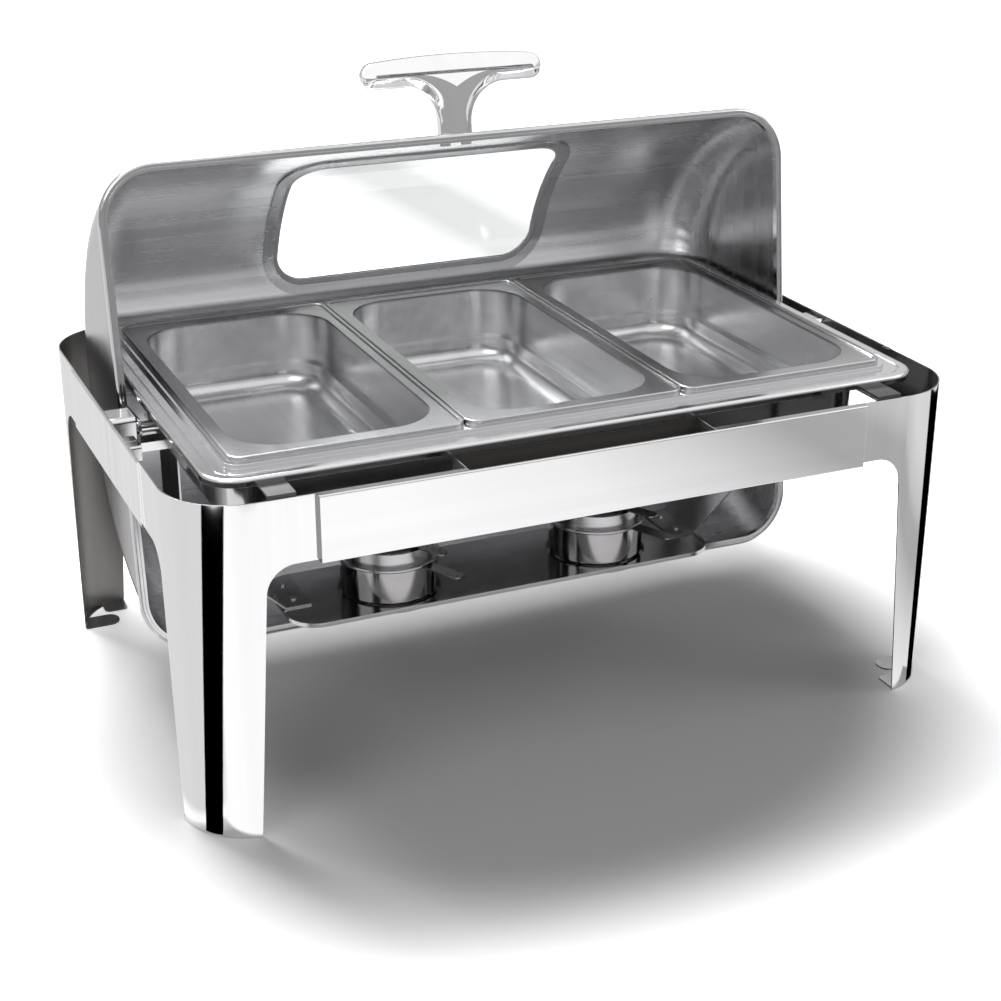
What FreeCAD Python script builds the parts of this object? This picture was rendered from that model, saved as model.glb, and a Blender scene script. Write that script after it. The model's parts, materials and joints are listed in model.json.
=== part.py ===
"""Roll top chafer: a stand, a water pan with three food pans, two fuel burners and a cover that
rolls back about one horizontal axis.

Frame: +X to the right, +Y to the back, +Z up, in millimetres. The origin is on the table under the
middle of the stand. The stand, pans and burners are drawn where they stand. The cover is drawn
closed about its own pivot axis, and its Placement turns it open.
"""
import FreeCAD
import Part
import Sketcher

import math
import os
import re

SIZES = (
    # stand
    ("leg_half_length", 314.0, "outer face of the legs from the middle, along X"),
    ("leg_half_width", 214.0, "outer face of the legs from the middle, along Y"),
    ("stand_height", 258.0, "top edge of the legs and rails"),
    ("sheet", 1.2, "thickness of the stand's sheet"),
    ("leg_corner_radius", 54.0, "outer radius of a leg's upright corner"),
    ("leg_foot_width", 45.0, "width of a leg's front panel at the table"),
    ("leg_neck_width", 58.8, "width of a leg's front panel at the band"),
    ("leg_foot_depth", 46.0, "width of a leg's side panel at the table"),
    ("leg_neck_depth", 60.5, "width of a leg's side panel at the band"),
    ("arch_radius", 22.0, "radius where a leg runs into the band"),
    ("band_height", 50.0, "height of the rails"),
    ("rail_half_length", 218.0, "half length of the front and back rails"),
    ("rail_proud", 5.5, "how far the front and back rails stand in front of the legs"),
    ("side_rail_half_length", 110.0, "half length of the side rails"),
    ("side_rail_proud", 1.5, "how far the side rails stand outside the legs"),
    ("rail_flange", 7.0, "width of a rail's folded edge"),
    ("side_seam", 14.0, "groove on a side rail in front of the pivot"),
    ("side_seam_width", 0.8, "width of the groove on a side rail"),
    ("side_seam_depth", 0.5, "depth of the groove on a side rail"),
    ("side_rail_flange", 2.4, "width of a side rail's folded edge"),
    ("arm_overlap", 10.0, "how far a leg's arm runs behind a rail"),
    ("tab_long", 32.0, "reach of the foot tab under the side panel"),
    ("tab_short", 24.0, "reach of the foot tab under the front panel"),
    ("tab_width", 20.0, "width of a foot tab"),
    ("tab_inset", 30.0, "from the leg's front face to the long foot tab"),
    ("short_tab_inset", 24.0, "from the leg's side face to the short foot tab"),
    ("stud_radius", 3.0, "radius of a rail stud"),
    ("stud_inset", 5.0, "from a rail's end to its studs"),
    ("stud_spacing", 30.0, "height between two studs"),
    ("overcut", 5.0, "how far a cutting shape runs past what it cuts"),
    # front trough
    ("trough_left", 109.0, "left end of the front trough from the middle"),
    ("trough_right", 88.0, "right end of the front trough from the middle"),
    ("trough_width", 30.0, "width of the front trough"),
    ("trough_depth", 24.0, "depth of the front trough"),
    ("trough_sheet", 1.0, "thickness of the trough's sheet"),
    # corner brackets
    ("bracket_middle", 242.0, "middle of a corner bracket from the middle of the stand"),
    ("bracket_width", 20.0, "width of a corner bracket at its top"),
    ("bracket_drop", 36.0, "height of a corner bracket"),
    ("bracket_sheet", 1.5, "thickness of a corner bracket"),
    ("bracket_seat", 4.0, "how far a bracket's seat reaches under the water pan's rim"),
    ("bracket_rivet_radius", 2.2, "radius of a bracket rivet's head"),
    ("bracket_rivet_spacing", 10.0, "spacing of the two bracket rivets"),
    # pivot
    ("pivot_height", 242.0, "height of the cover's pivot axis"),
    ("pin_radius", 4.5, "radius of the hinge pin"),
    ("pin_clearance", 0.05, "running clearance round the hinge pin"),
    ("pin_inner", 259.0, "inner end of the hinge pin from the middle"),
    ("hub_inner", 293.0, "inner face of the hinge block from the middle"),
    ("hub_size", 27.0, "side of the hinge block"),
    ("hub_rounding", 4.0, "corner radius of the hinge block"),
    ("hub_foot_drop", 18.0, "bottom of the hinge block's foot below the pivot"),
    ("hub_foot_height", 13.0, "height of the hinge block's foot"),
    ("hub_foot_width", 13.0, "width of the hinge block's foot"),
    ("washer_radius", 16.0, "radius of the toothed washer"),
    ("washer_thickness", 2.2, "thickness of the toothed washer"),
    ("washer_drop", 8.0, "middle of the toothed washer below the pivot"),
    ("washer_tooth", 0.9, "depth of the washer's teeth"),
    ("nut_radius", 7.5, "radius over the corners of the pin's nut"),
    ("nut_thickness", 4.0, "thickness of the pin's nut"),
    ("bar_half_width", 8.0, "half width of the flat support bar"),
    ("bar_top_drop", 9.8, "top of the support bar below the pivot"),
    ("bar_thickness", 7.5, "thickness of the support bar"),
    ("support_outer", 268.0, "outer face of the pan support from the middle"),
    ("support_sheet", 2.0, "thickness of the pan support"),
    ("support_half_width", 60.0, "half width of the pan support"),
    ("support_drop", 18.0, "lower edge of the pan support below the pivot"),
    ("support_flange", 10.0, "width of the pan support's seat"),
    # cover
    ("lid_open_angle", 97.0, "how far the cover turns from closed to open, in degrees"),
    ("lid_radius", 193.0, "outer radius of the cover about its pivot"),
    ("lid_half_length", 293.0, "outer face of the cover's ends from the middle"),
    ("lid_sheet", 1.0, "thickness of the cover's sheet"),
    ("lid_end_rounding", 40.0, "radius between the cover's ends and its roof"),
    ("rim_height", 25.5, "underside of the rim above the pivot, closed"),
    ("rim_thickness", 6.0, "height of the rim"),
    ("rim_outer_length", 296.5, "outer edge of the rim from the middle, along X"),
    ("rim_outer_width", 194.0, "outer edge of the rim from the middle, along Y"),
    ("rim_band", 6.5, "width of the rim"),
    ("rim_corner", 45.0, "outer corner radius of the rim"),
    ("rim_bead_radius", 2.5, "rounding of the rim's outer edges"),
    ("rim_groove", 2.0, "width of the rim's groove"),
    # window
    ("window_half_length", 123.0, "half length of the window opening"),
    ("window_half_height", 72.7, "half height of the window opening, across its middle"),
    ("window_angle", 48.75, "middle of the window above the front, in degrees"),
    ("window_corner", 30.0, "corner radius of the window opening"),
    ("gasket_band", 4.0, "width of the window gasket"),
    ("gasket_proud", 0.6, "how far the gasket stands out of the sheet, each side"),
    ("window_frame_band", 9.0, "width of the frame inside the window"),
    ("window_frame_sheet", 1.5, "thickness of the frame inside the window"),
    ("glass_thickness", 1.6, "thickness of the window glass"),
    # handle
    ("handle_half_length", 77.0, "half length of the handle's bar"),
    ("handle_bar_inner", 232.0, "inner edge of the handle's bar from the pivot"),
    ("handle_bar_outer", 256.0, "outer edge of the handle's bar from the pivot"),
    ("handle_stem_width", 28.0, "width of the handle's stem"),
    ("handle_above_rim", 7.0, "underside of the handle above the rim's underside"),
    ("handle_thickness", 20.0, "thickness of the handle"),
    ("handle_blend", 30.0, "radius between the stem and the bar"),
    ("handle_end_rounding", 9.0, "corner radius of the bar's ends"),
    ("handle_bevel", 4.5, "bevel along the handle's edges"),
    ("handle_screw_spacing", 18.0, "spacing of the handle's two screws"),
    ("handle_screw_radius", 2.5, "radius of a handle screw"),
    ("handle_screw_reach", 12.0, "how far a handle screw runs into the stem"),
    ("handle_root", 12.0, "how far the stem runs inside the cover's radius before it is trimmed"),
    ("screw_head_radius", 4.5, "radius of a handle screw's head"),
    ("screw_head_height", 2.5, "height of a handle screw's head"),
    # cover hinge plates
    ("hinge_plate_inner", 287.5, "inner face of a hinge plate from the middle"),
    ("hinge_plate_sheet", 2.0, "thickness of a hinge plate"),
    ("hinge_plate_height", 72.0, "top of a hinge plate above the pivot, closed"),
    ("hinge_plate_top", 12.0, "half width of a hinge plate at its top"),
    ("hinge_plate_eye", 7.0, "half width of a hinge plate at the pivot"),
    ("plate_screw_low", 44.0, "lower hinge plate screw above the pivot, closed"),
    ("plate_screw_high", 62.0, "upper hinge plate screw above the pivot, closed"),
    ("plate_screw_radius", 2.0, "radius of a hinge plate screw"),
    ("plate_screw_head", 4.0, "radius of a hinge plate screw's head"),
    ("plate_screw_head_height", 1.0, "height of a hinge plate screw's head"),
    ("plate_screw_end", 1.0, "how far a hinge plate screw's end stands out of the cover"),
    ("spacer_radius", 5.5, "radius of a spacer behind a hinge plate"),
    # water pan
    ("water_rim_half_length", 286.0, "outer edge of the water pan's rim, along X"),
    ("water_rim_half_width", 187.0, "outer edge of the water pan's rim from its middle, along Y"),
    ("water_middle", -5.0, "middle of the water pan, along Y"),
    ("water_rim_bottom", 261.0, "lower edge of the water pan's rim"),
    ("water_rim_top", 267.0, "top of the water pan's rim"),
    ("water_rim_corner", 26.0, "corner radius of the water pan's rim"),
    ("water_rim_bead", 2.4, "rounding of the water pan's rim"),
    ("water_groove_inset", 8.0, "from the rim's outer edge to its groove"),
    ("water_groove", 1.6, "width of the groove in the water pan's rim"),
    ("water_groove_depth", 0.6, "depth of the groove in the water pan's rim"),
    ("water_seat_rise", 3.2, "height of the food pans' seat above the rim"),
    ("water_seat_half_length", 268.5, "outer edge of the seat, along X"),
    ("water_seat_half_width", 168.5, "outer edge of the seat from its middle, along Y"),
    ("water_half_length", 257.0, "outer face of the water pan's walls, along X"),
    ("water_half_width", 157.0, "outer face of the water pan's walls from its middle, along Y"),
    ("water_bottom", 196.0, "underside of the water pan"),
    ("water_corner", 34.0, "corner radius of the water pan's walls"),
    ("water_floor_rounding", 10.0, "rounding of the water pan's floor"),
    ("water_sheet", 1.0, "thickness of the water pan"),
    # food pans
    ("pan_length", 325.0, "length of a food pan's flange, along Y"),
    ("pan_width", 176.0, "width of a food pan's flange, along X"),
    ("pan_pitch", 176.67, "spacing of the food pans"),
    ("pan_middle", -7.0, "middle of the food pans, along Y"),
    ("pan_flange_height", 3.8, "height of a food pan's flange"),
    ("pan_bead", 3.8, "width of the bead round a food pan's flange"),
    ("pan_bead_rise", 1.2, "height of the bead above the flange"),
    ("pan_bead_rounding", 1.1, "rounding of the bead"),
    ("pan_corner", 11.0, "corner radius of a food pan's flange"),
    ("pan_side_land", 10.5, "width of the flange beside the well"),
    ("pan_end_land", 14.0, "width of the flange at the ends of the well"),
    ("pan_well_corner", 40.0, "corner radius of the well"),
    ("pan_depth", 65.0, "depth of a food pan"),
    ("pan_shoulder_depth", 44.0, "depth of the shoulder in the well"),
    ("pan_shoulder", 5.0, "width of the shoulder in the well"),
    ("pan_floor_rounding", 15.0, "rounding of a food pan's floor"),
    ("pan_sheet", 0.8, "thickness of a food pan"),
    # fuel shelf
    ("shelf_half_length", 189.0, "half length of the fuel shelf"),
    ("shelf_front", -57.0, "front edge of the fuel shelf"),
    ("shelf_back", 42.0, "back edge of the fuel shelf"),
    ("shelf_top", 78.0, "top of the fuel shelf"),
    ("shelf_lip", 3.5, "height of the fuel shelf's folded edge"),
    ("shelf_corner", 25.0, "corner radius of the fuel shelf"),
    ("shelf_sheet", 1.0, "thickness of the fuel shelf"),
    ("recess_clearance", 2.5, "gap between a burner cup and its recess"),
    ("recess_depth", 4.0, "depth of a burner recess"),
    ("burner_offset", 94.5, "burner axis from the middle, along X"),
    ("burner_middle", -12.0, "burner axis, along Y"),
    ("hanger_foot", 187.0, "where a hanger meets the shelf, from the middle"),
    ("hanger_foot_length", 22.0, "length of a hanger's foot on the shelf"),
    ("hanger_front", -22.0, "front edge of a hanger"),
    ("hanger_back", 34.0, "back edge of a hanger"),
    ("hanger_sheet", 1.5, "thickness of a hanger"),
    ("hanger_bend_height", 152.0, "height of a hanger's upper bend"),
    ("shelf_rivet_radius", 2.6, "radius of a shelf rivet's head"),
    ("rivet_height", 1.2, "height of a rivet's head"),
    # burners
    ("cup_radius", 40.0, "outer radius of a burner cup"),
    ("cup_height", 33.0, "height of a burner cup"),
    ("cup_wall", 0.8, "thickness of a burner cup"),
    ("cup_floor_rounding", 7.0, "rounding of a burner cup's floor"),
    ("ring_overhang", 2.0, "how far the ring stands out over a burner cup"),
    ("ring_height", 3.2, "height of the ring on a burner cup"),
    ("neck_step", 3.5, "how far the burner's neck lies inside the cup's wall"),
    ("neck_height", 11.0, "height of the burner's neck above the ring"),
    ("burner_mouth", 25.0, "radius of the burner's mouth"),
    ("mouth_collar", 1.5, "height of the collar round the burner's mouth"),
    ("cover_gap", 0.3, "gap between the burner's mouth and its cover"),
    ("cover_radius", 29.0, "radius of the burner cover"),
    ("cover_sheet", 1.4, "thickness of the burner cover"),
    ("cover_pivot_radius", 31.0, "burner cover's rivet from the burner axis"),
    ("lever_angle", -63.0, "direction of the burner levers, in degrees"),
    ("cover_lever_reach", 62.0, "end of the cover's lever from the burner axis"),
    ("holder_lever_reach", 79.0, "end of the holder's handle from the burner axis"),
    ("lever_width", 11.0, "width of a burner lever"),
    ("lever_sheet", 1.4, "thickness of a burner lever"),
    ("cover_rivet_radius", 2.6, "radius of the burner cover's rivet"),
)
NAMES = {alias for alias, value, note in SIZES}
ROUND_OFF = 1e-4

doc = FreeCAD.newDocument("roll_top_chafer")
sheet = doc.addObject("Spreadsheet::Sheet", "sizes")
for row, (alias, value, note) in enumerate(SIZES, start=1):
    sheet.set(f"A{row}", alias)
    sheet.set(f"B{row}", str(value))
    sheet.set(f"C{row}", note)
    sheet.setAlias(f"B{row}", alias)
working = doc.addObject("Spreadsheet::Sheet", "working")
doc.recompute()

nodes = []


# ---------------------------------------------------------------- helpers: formulas and sketches
def size(alias):
    """The number in one named cell."""
    return float(getattr(sheet, alias))


def formula(text):
    """A FreeCAD expression in which each named size points at its cell."""
    def cell(match):
        word = match.group()
        return "sizes." + word if word in NAMES else word
    return re.sub(r"[a-z][a-z_]*", cell, text)


def number(text):
    """The present value of a formula."""
    working.set("A1", "=" + formula(text))
    working.recompute()
    return float(working.get("A1"))


def bind(item, prop, text):
    item.setExpression(prop, formula(text))


def node(item, label):
    """Marks an object as one sub-part, which has a file of its own."""
    item.Label = label
    nodes.append(item)
    return item


def new_body(label):
    body = doc.addObject("PartDesign::Body", label)
    return node(body, label)


def plane_of(body, role):
    return next(item for item in body.Origin.OriginFeatures if item.Role == role)


def new_sketch(body, role, offset):
    """A sketch on one of the body's own planes, moved along the plane's normal by offset."""
    sketch = body.newObject("Sketcher::SketchObject", body.Name + "_sketch")
    sketch.AttachmentSupport = [(plane_of(body, role), "")]
    sketch.MapMode = "FlatFace"
    bind(sketch, "AttachmentOffset.Base.z", offset)
    return sketch


def add_loop(sketch, corners):
    """A closed loop of straight sides whose corners are pairs of formulas."""
    first = sketch.GeometryCount
    count = len(corners)
    guesses = []
    for index in range(count):
        turn = 2 * math.pi * index / count
        guesses.append(FreeCAD.Vector(10 * math.cos(turn), 10 * math.sin(turn), 0))
    for index in range(count):
        sketch.addGeometry(Part.LineSegment(guesses[index], guesses[(index + 1) % count]))
    for index in range(count):
        follower = first + (index + 1) % count
        sketch.addConstraint(Sketcher.Constraint("Coincident", first + index, 2, follower, 1))
    for index, corner in enumerate(corners):
        guess = guesses[index]
        for kind, text, start in zip(("DistanceX", "DistanceY"), corner, (guess.x, guess.y)):
            number = sketch.addConstraint(Sketcher.Constraint(kind, -1, 1, first + index, 1, start))
            bind(sketch, f"Constraints[{number}]", text)


def outline(body, role, *loops, offset="0"):
    sketch = new_sketch(body, role, offset)
    for corners in loops:
        add_loop(sketch, corners)
    return sketch


def add_rounded(sketch, corners, radius):
    """A closed rectangle with four equal round corners."""
    low_x, low_y = corners[0]
    high_x, high_y = corners[2]
    left, right = number(low_x), number(high_x)
    front, back = number(low_y), number(high_y)
    inset = number(radius)
    first = sketch.GeometryCount
    sides = (
        ((left + inset, front), (right - inset, front)),
        ((right, front + inset), (right, back - inset)),
        ((right - inset, back), (left + inset, back)),
        ((left, back - inset), (left, front + inset)),
    )
    middles = (
        (right - inset, front + inset), (right - inset, back - inset),
        (left + inset, back - inset), (left + inset, front + inset),
    )
    for start, end in sides:
        sketch.addGeometry(Part.LineSegment(FreeCAD.Vector(*start, 0), FreeCAD.Vector(*end, 0)))
    for index, middle in enumerate(middles):
        circle = Part.Circle(FreeCAD.Vector(*middle, 0), FreeCAD.Vector(0, 0, 1), inset)
        turn_start = (index - 1) * math.pi / 2
        sketch.addGeometry(Part.ArcOfCircle(circle, turn_start, turn_start + math.pi / 2))
    for index in range(4):
        arc = first + 4 + index
        following = first + (index + 1) % 4
        sketch.addConstraint(Sketcher.Constraint("Tangent", first + index, 2, arc, 1))
        sketch.addConstraint(Sketcher.Constraint("Tangent", arc, 2, following, 1))
        level = "Horizontal" if index % 2 == 0 else "Vertical"
        sketch.addConstraint(Sketcher.Constraint(level, first + index))
    for index in range(1, 4):
        sketch.addConstraint(Sketcher.Constraint("Equal", first + 4, first + 4 + index))
    bound = sketch.addConstraint(Sketcher.Constraint("Radius", first + 4, inset))
    bind(sketch, f"Constraints[{bound}]", radius)
    places = (
        ("DistanceY", 0, low_y, front), ("DistanceX", 1, high_x, right),
        ("DistanceY", 2, high_y, back), ("DistanceX", 3, low_x, left),
    )
    for kind, index, text, start in places:
        bound = sketch.addConstraint(Sketcher.Constraint(kind, -1, 1, first + index, 1, start))
        bind(sketch, f"Constraints[{bound}]", text)


def rounded(body, role, *loops, offset="0"):
    """Rectangles with round corners, each given as its corners and its radius."""
    sketch = new_sketch(body, role, offset)
    for corners, radius in loops:
        add_rounded(sketch, corners, radius)
    return sketch


def circles(body, role, *rounds, offset="0"):
    """Full circles, each given as formulas for its middle and its radius."""
    sketch = new_sketch(body, role, offset)
    for middle_x, middle_y, radius in rounds:
        circle = Part.Circle(FreeCAD.Vector(1, 1, 0), FreeCAD.Vector(0, 0, 1), 3)
        number = sketch.addGeometry(circle)
        places = (("DistanceX", middle_x), ("DistanceY", middle_y))
        for kind, text in places:
            place = sketch.addConstraint(Sketcher.Constraint(kind, -1, 1, number, 3, 1))
            bind(sketch, f"Constraints[{place}]", text)
        reach = sketch.addConstraint(Sketcher.Constraint("Radius", number, 3))
        bind(sketch, f"Constraints[{reach}]", radius)
    return sketch


def rectangle(half_x, half_y, middle_x="0", middle_y="0"):
    """Corners of an upright rectangle about its middle."""
    low_x = f"({middle_x}) - ({half_x})"
    high_x = f"({middle_x}) + ({half_x})"
    low_y = f"({middle_y}) - ({half_y})"
    high_y = f"({middle_y}) + ({half_y})"
    return span(low_x, high_x, low_y, high_y)


def span(low_x, high_x, low_y, high_y):
    """Corners of an upright rectangle between its sides."""
    return [(low_x, low_y), (high_x, low_y), (high_x, high_y), (low_x, high_y)]


# ---------------------------------------------------------------- helpers: features
def add(body, sketch, length):
    """Adds material along the sketch plane's normal."""
    feature = body.newObject("PartDesign::Pad", body.Name + "_pad")
    feature.Profile = sketch
    bind(feature, "Length", length)
    doc.recompute()
    return feature


def cut(body, sketch, length):
    """Cuts along the sketch plane's normal, and makes sure that something was cut."""
    before = body.Shape.Volume
    feature = body.newObject("PartDesign::Pocket", body.Name + "_cut")
    feature.Profile = sketch
    feature.Reversed = True
    bind(feature, "Length", length)
    doc.recompute()
    if body.Shape.Volume > before - ROUND_OFF:
        raise RuntimeError(f"{body.Label}: a cut removed nothing")
    return feature


def turn(body, sketch):
    """Turns a sketch on the XZ plane once round the body's upright axis."""
    feature = body.newObject("PartDesign::Revolution", body.Name + "_turn")
    feature.Profile = sketch
    feature.ReferenceAxis = (sketch, ["V_Axis"])
    feature.Angle = 360
    doc.recompute()
    return feature


def sketch_corner(sketch, loop_corner):
    return sketch.Placement.multVec(sketch.Geometry[loop_corner].StartPoint)


def upright_edges(shape, sketch, corners):
    """Straight edges that stand on the given corners of a sketch."""
    normal = sketch.Placement.Rotation.multVec(FreeCAD.Vector(0, 0, 1))
    found = []
    for corner in corners:
        point = sketch_corner(sketch, corner)
        for index, edge in enumerate(shape.Edges, start=1):
            if not isinstance(edge.Curve, Part.Line):
                continue
            away = edge.Vertexes[0].Point - point
            along = edge.Vertexes[1].Point - edge.Vertexes[0].Point
            if away.cross(normal).Length < ROUND_OFF and along.cross(normal).Length < ROUND_OFF:
                found.append(f"Edge{index}")
    return found


def ring_edges(shape, sketch, corners):
    """Round edges that a turned sketch's corners leave."""
    found = []
    for corner in corners:
        point = sketch_corner(sketch, corner)
        for index, edge in enumerate(shape.Edges, start=1):
            if isinstance(edge.Curve, Part.Circle):
                if (edge.Vertexes[0].Point - point).Length < ROUND_OFF:
                    found.append(f"Edge{index}")
    return found


def flat_edges_at(shape, height):
    """Edges that lie level at a height."""
    level = number(height)
    found = []
    for index, edge in enumerate(shape.Edges, start=1):
        if all(abs(point.z - level) < ROUND_OFF for point in edge.discretize(5)):
            found.append(f"Edge{index}")
    return found


def level_edges(shape, sketch):
    """Edges that lie in a sketch's own plane."""
    normal = sketch.Placement.Rotation.multVec(FreeCAD.Vector(0, 0, 1))
    found = []
    for index, edge in enumerate(shape.Edges, start=1):
        points = edge.discretize(5)
        if all(abs((point - sketch.Placement.Base).dot(normal)) < ROUND_OFF for point in points):
            found.append(f"Edge{index}")
    return found


def soften(body, names, radius, kind="Fillet"):
    """Rounds, or bevels, the named edges."""
    if not names:
        raise RuntimeError(f"{body.Label}: no edge to soften")
    base = body.Tip
    feature = body.newObject("PartDesign::" + kind, body.Name + "_" + kind.lower())
    feature.Base = (base, names)
    bind(feature, "Radius" if kind == "Fillet" else "Size", radius)
    body.Tip = feature
    doc.recompute()
    if "Invalid" in feature.State:
        raise RuntimeError(f"{body.Label}: {radius} can't be made at {names}")
    return feature


def round_corners(body, sketch, corners, radius):
    return soften(body, upright_edges(body.Shape, sketch, corners), radius)


def cylinder(name, radius, length, axis, place):
    """A plain cylinder from a start point; axis is X, Y or Z."""
    turns = {
        "X": FreeCAD.Rotation(FreeCAD.Vector(0, 1, 0), 90),
        "Y": FreeCAD.Rotation(FreeCAD.Vector(-1, 0, 0), 90),
        "Z": FreeCAD.Rotation(),
    }
    item = doc.addObject("Part::Cylinder", name)
    item.Placement = FreeCAD.Placement(FreeCAD.Vector(), turns[axis])
    bind(item, "Radius", radius)
    bind(item, "Height", length)
    for letter, text in zip("xyz", place):
        bind(item, "Placement.Base." + letter, text)
    return item


def block(name, low, high):
    """A plain box between two corners."""
    item = doc.addObject("Part::Box", name)
    for prop, letter, start, end in zip(("Length", "Width", "Height"), "xyz", low, high):
        bind(item, prop, f"({end}) - ({start})")
        bind(item, "Placement.Base." + letter, start)
    return item


def join(kind, name, base, tool):
    """A Part boolean: Cut, Common or Fuse."""
    item = doc.addObject("Part::" + kind, name)
    item.Base = base
    item.Tool = tool
    return item


def group(label, pieces):
    """Several separate solids in one sub-part."""
    item = doc.addObject("Part::Compound", label)
    item.Links = pieces
    return node(item, label)


def mirrored(sign, text):
    return f"{sign} * ({text})"


def between(sign, low, high):
    """The lower and upper end of a stretch, on either side of the middle."""
    if sign > 0:
        return low, high
    return f"-1 * ({high})", f"-1 * ({low})"


SIDES = (("left", -1), ("right", 1))
ENDS = (("front", -1), ("back", 1))


# ---------------------------------------------------------------- stand
def make_leg(side, sx, end, sy):
    """A bent corner of sheet with two arms behind the rails and two tabs on the table."""
    body = new_body(f"leg_{end}_{side}")

    def at(x_text, y_text):
        return (mirrored(sx, x_text), mirrored(sy, y_text))

    wall = outline(body, "XY_Plane", [
        at("rail_half_length - arm_overlap", "leg_half_width"),
        at("leg_half_length", "leg_half_width"),
        at("leg_half_length", "side_rail_half_length - arm_overlap"),
        at("leg_half_length - sheet", "side_rail_half_length - arm_overlap"),
        at("leg_half_length - sheet", "leg_half_width - sheet"),
        at("rail_half_length - arm_overlap", "leg_half_width - sheet"),
    ])
    add(body, wall, "stand_height")
    round_corners(body, wall, [1], "leg_corner_radius")
    round_corners(body, wall, [4], "leg_corner_radius - sheet")

    arch_top = "stand_height - band_height + sheet"
    front = outline(body, "XZ_Plane", [
        (mirrored(sx, "rail_half_length - arm_overlap - overcut"), "-1 * overcut"),
        (mirrored(sx, "leg_half_length - leg_foot_width"), "-1 * overcut"),
        (mirrored(sx, "leg_half_length - leg_neck_width"), arch_top),
        (mirrored(sx, "rail_half_length - arm_overlap - overcut"), arch_top),
    ], offset=mirrored(-sy, "leg_half_width - sheet / 2") + " - leg_corner_radius / 2")
    cut(body, front, "leg_corner_radius")
    round_corners(body, front, [2], "arch_radius")
    side_cut = outline(body, "YZ_Plane", [
        (mirrored(sy, "side_rail_half_length - arm_overlap - overcut"), "-1 * overcut"),
        (mirrored(sy, "leg_half_width - leg_foot_depth"), "-1 * overcut"),
        (mirrored(sy, "leg_half_width - leg_neck_depth"), arch_top),
        (mirrored(sy, "side_rail_half_length - arm_overlap - overcut"), arch_top),
    ], offset=mirrored(sx, "leg_half_length - sheet / 2") + " - leg_corner_radius / 2")
    cut(body, side_cut, "leg_corner_radius")
    round_corners(body, side_cut, [2], "arch_radius")

    arm_top = "stand_height - sheet"
    low_x, high_x = between(sx, "rail_half_length - arm_overlap - overcut", "rail_half_length")
    front_arm = outline(body, "XZ_Plane", span(low_x, high_x, arm_top, "stand_height + overcut"),
                        offset=mirrored(-sy, "leg_half_width") + " - overcut")
    cut(body, front_arm, "2 * overcut")
    low_y, high_y = between(sy, "side_rail_half_length - arm_overlap - overcut", "side_rail_half_length")
    side_arm = outline(body, "YZ_Plane", span(low_y, high_y, arm_top, "stand_height + overcut"),
                       offset=mirrored(sx, "leg_half_length") + " - overcut")
    cut(body, side_arm, "2 * overcut")

    def wall_reach(inset):
        """How far the rounded wall lies inside its face, at an inset from the other face."""
        middle = "(leg_corner_radius - sheet / 2)"
        return f"leg_corner_radius - sqrt({middle}^2 - (leg_corner_radius - ({inset}))^2)"

    near, far = "tab_inset", "tab_inset + tab_width"
    long_tab = outline(body, "XY_Plane", [
        at("leg_half_length - tab_long", f"leg_half_width - ({near})"),
        at(f"leg_half_length - ({wall_reach(near)})", f"leg_half_width - ({near})"),
        at(f"leg_half_length - ({wall_reach(far)})", f"leg_half_width - ({far})"),
        at("leg_half_length - tab_long", f"leg_half_width - ({far})"),
    ])
    add(body, long_tab, "sheet")
    round_corners(body, long_tab, [0, 3], "tab_width * 0.45")
    near, far = "short_tab_inset", "short_tab_inset + tab_width"
    short_tab = outline(body, "XY_Plane", [
        at(f"leg_half_length - ({near})", "leg_half_width - tab_short"),
        at(f"leg_half_length - ({near})", f"leg_half_width - ({wall_reach(near)})"),
        at(f"leg_half_length - ({far})", f"leg_half_width - ({wall_reach(far)})"),
        at(f"leg_half_length - ({far})", "leg_half_width - tab_short"),
    ])
    add(body, short_tab, "sheet")
    round_corners(body, short_tab, [0, 3], "tab_width * 0.2")


def make_rail(name, sy):
    """A folded channel across the front or the back, with its ends turned in to the legs."""
    body = new_body(name)
    outer = "leg_half_width + rail_proud"
    bottom = "stand_height - band_height"
    section = outline(body, "YZ_Plane", [
        (mirrored(sy, outer), bottom),
        (mirrored(sy, outer), "stand_height"),
        (mirrored(sy, outer + " - rail_flange"), "stand_height"),
        (mirrored(sy, outer + " - rail_flange"), "stand_height - sheet"),
        (mirrored(sy, outer + " - sheet"), "stand_height - sheet"),
        (mirrored(sy, outer + " - sheet"), bottom + " + sheet"),
        (mirrored(sy, outer + " - rail_flange"), bottom + " + sheet"),
        (mirrored(sy, outer + " - rail_flange"), bottom),
    ], offset="-1 * rail_half_length")
    add(body, section, "rail_half_length * 2")
    low_y, high_y = between(sy, "leg_half_width", outer + " - sheet / 2")
    for start in ("-1 * rail_half_length", "rail_half_length - sheet"):
        end = outline(body, "YZ_Plane",
                      span(low_y, high_y, bottom + " + sheet / 2", "stand_height - sheet / 2"),
                      offset=start)
        add(body, end, "sheet")
    round_corners(body, section, [0, 1], "sheet * 0.9")
    return body


def make_front_rail():
    """The front rail's folded edge is cut away over the trough."""
    body = make_rail("front_rail", -1)
    opening = outline(body, "XY_Plane", span(
        "-1 * trough_left", "trough_right",
        "-1 * (leg_half_width + rail_proud - sheet)", "-1 * (leg_half_width - rail_flange)"),
        offset="stand_height - sheet - overcut")
    cut(body, opening, "sheet + 2 * overcut")


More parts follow.
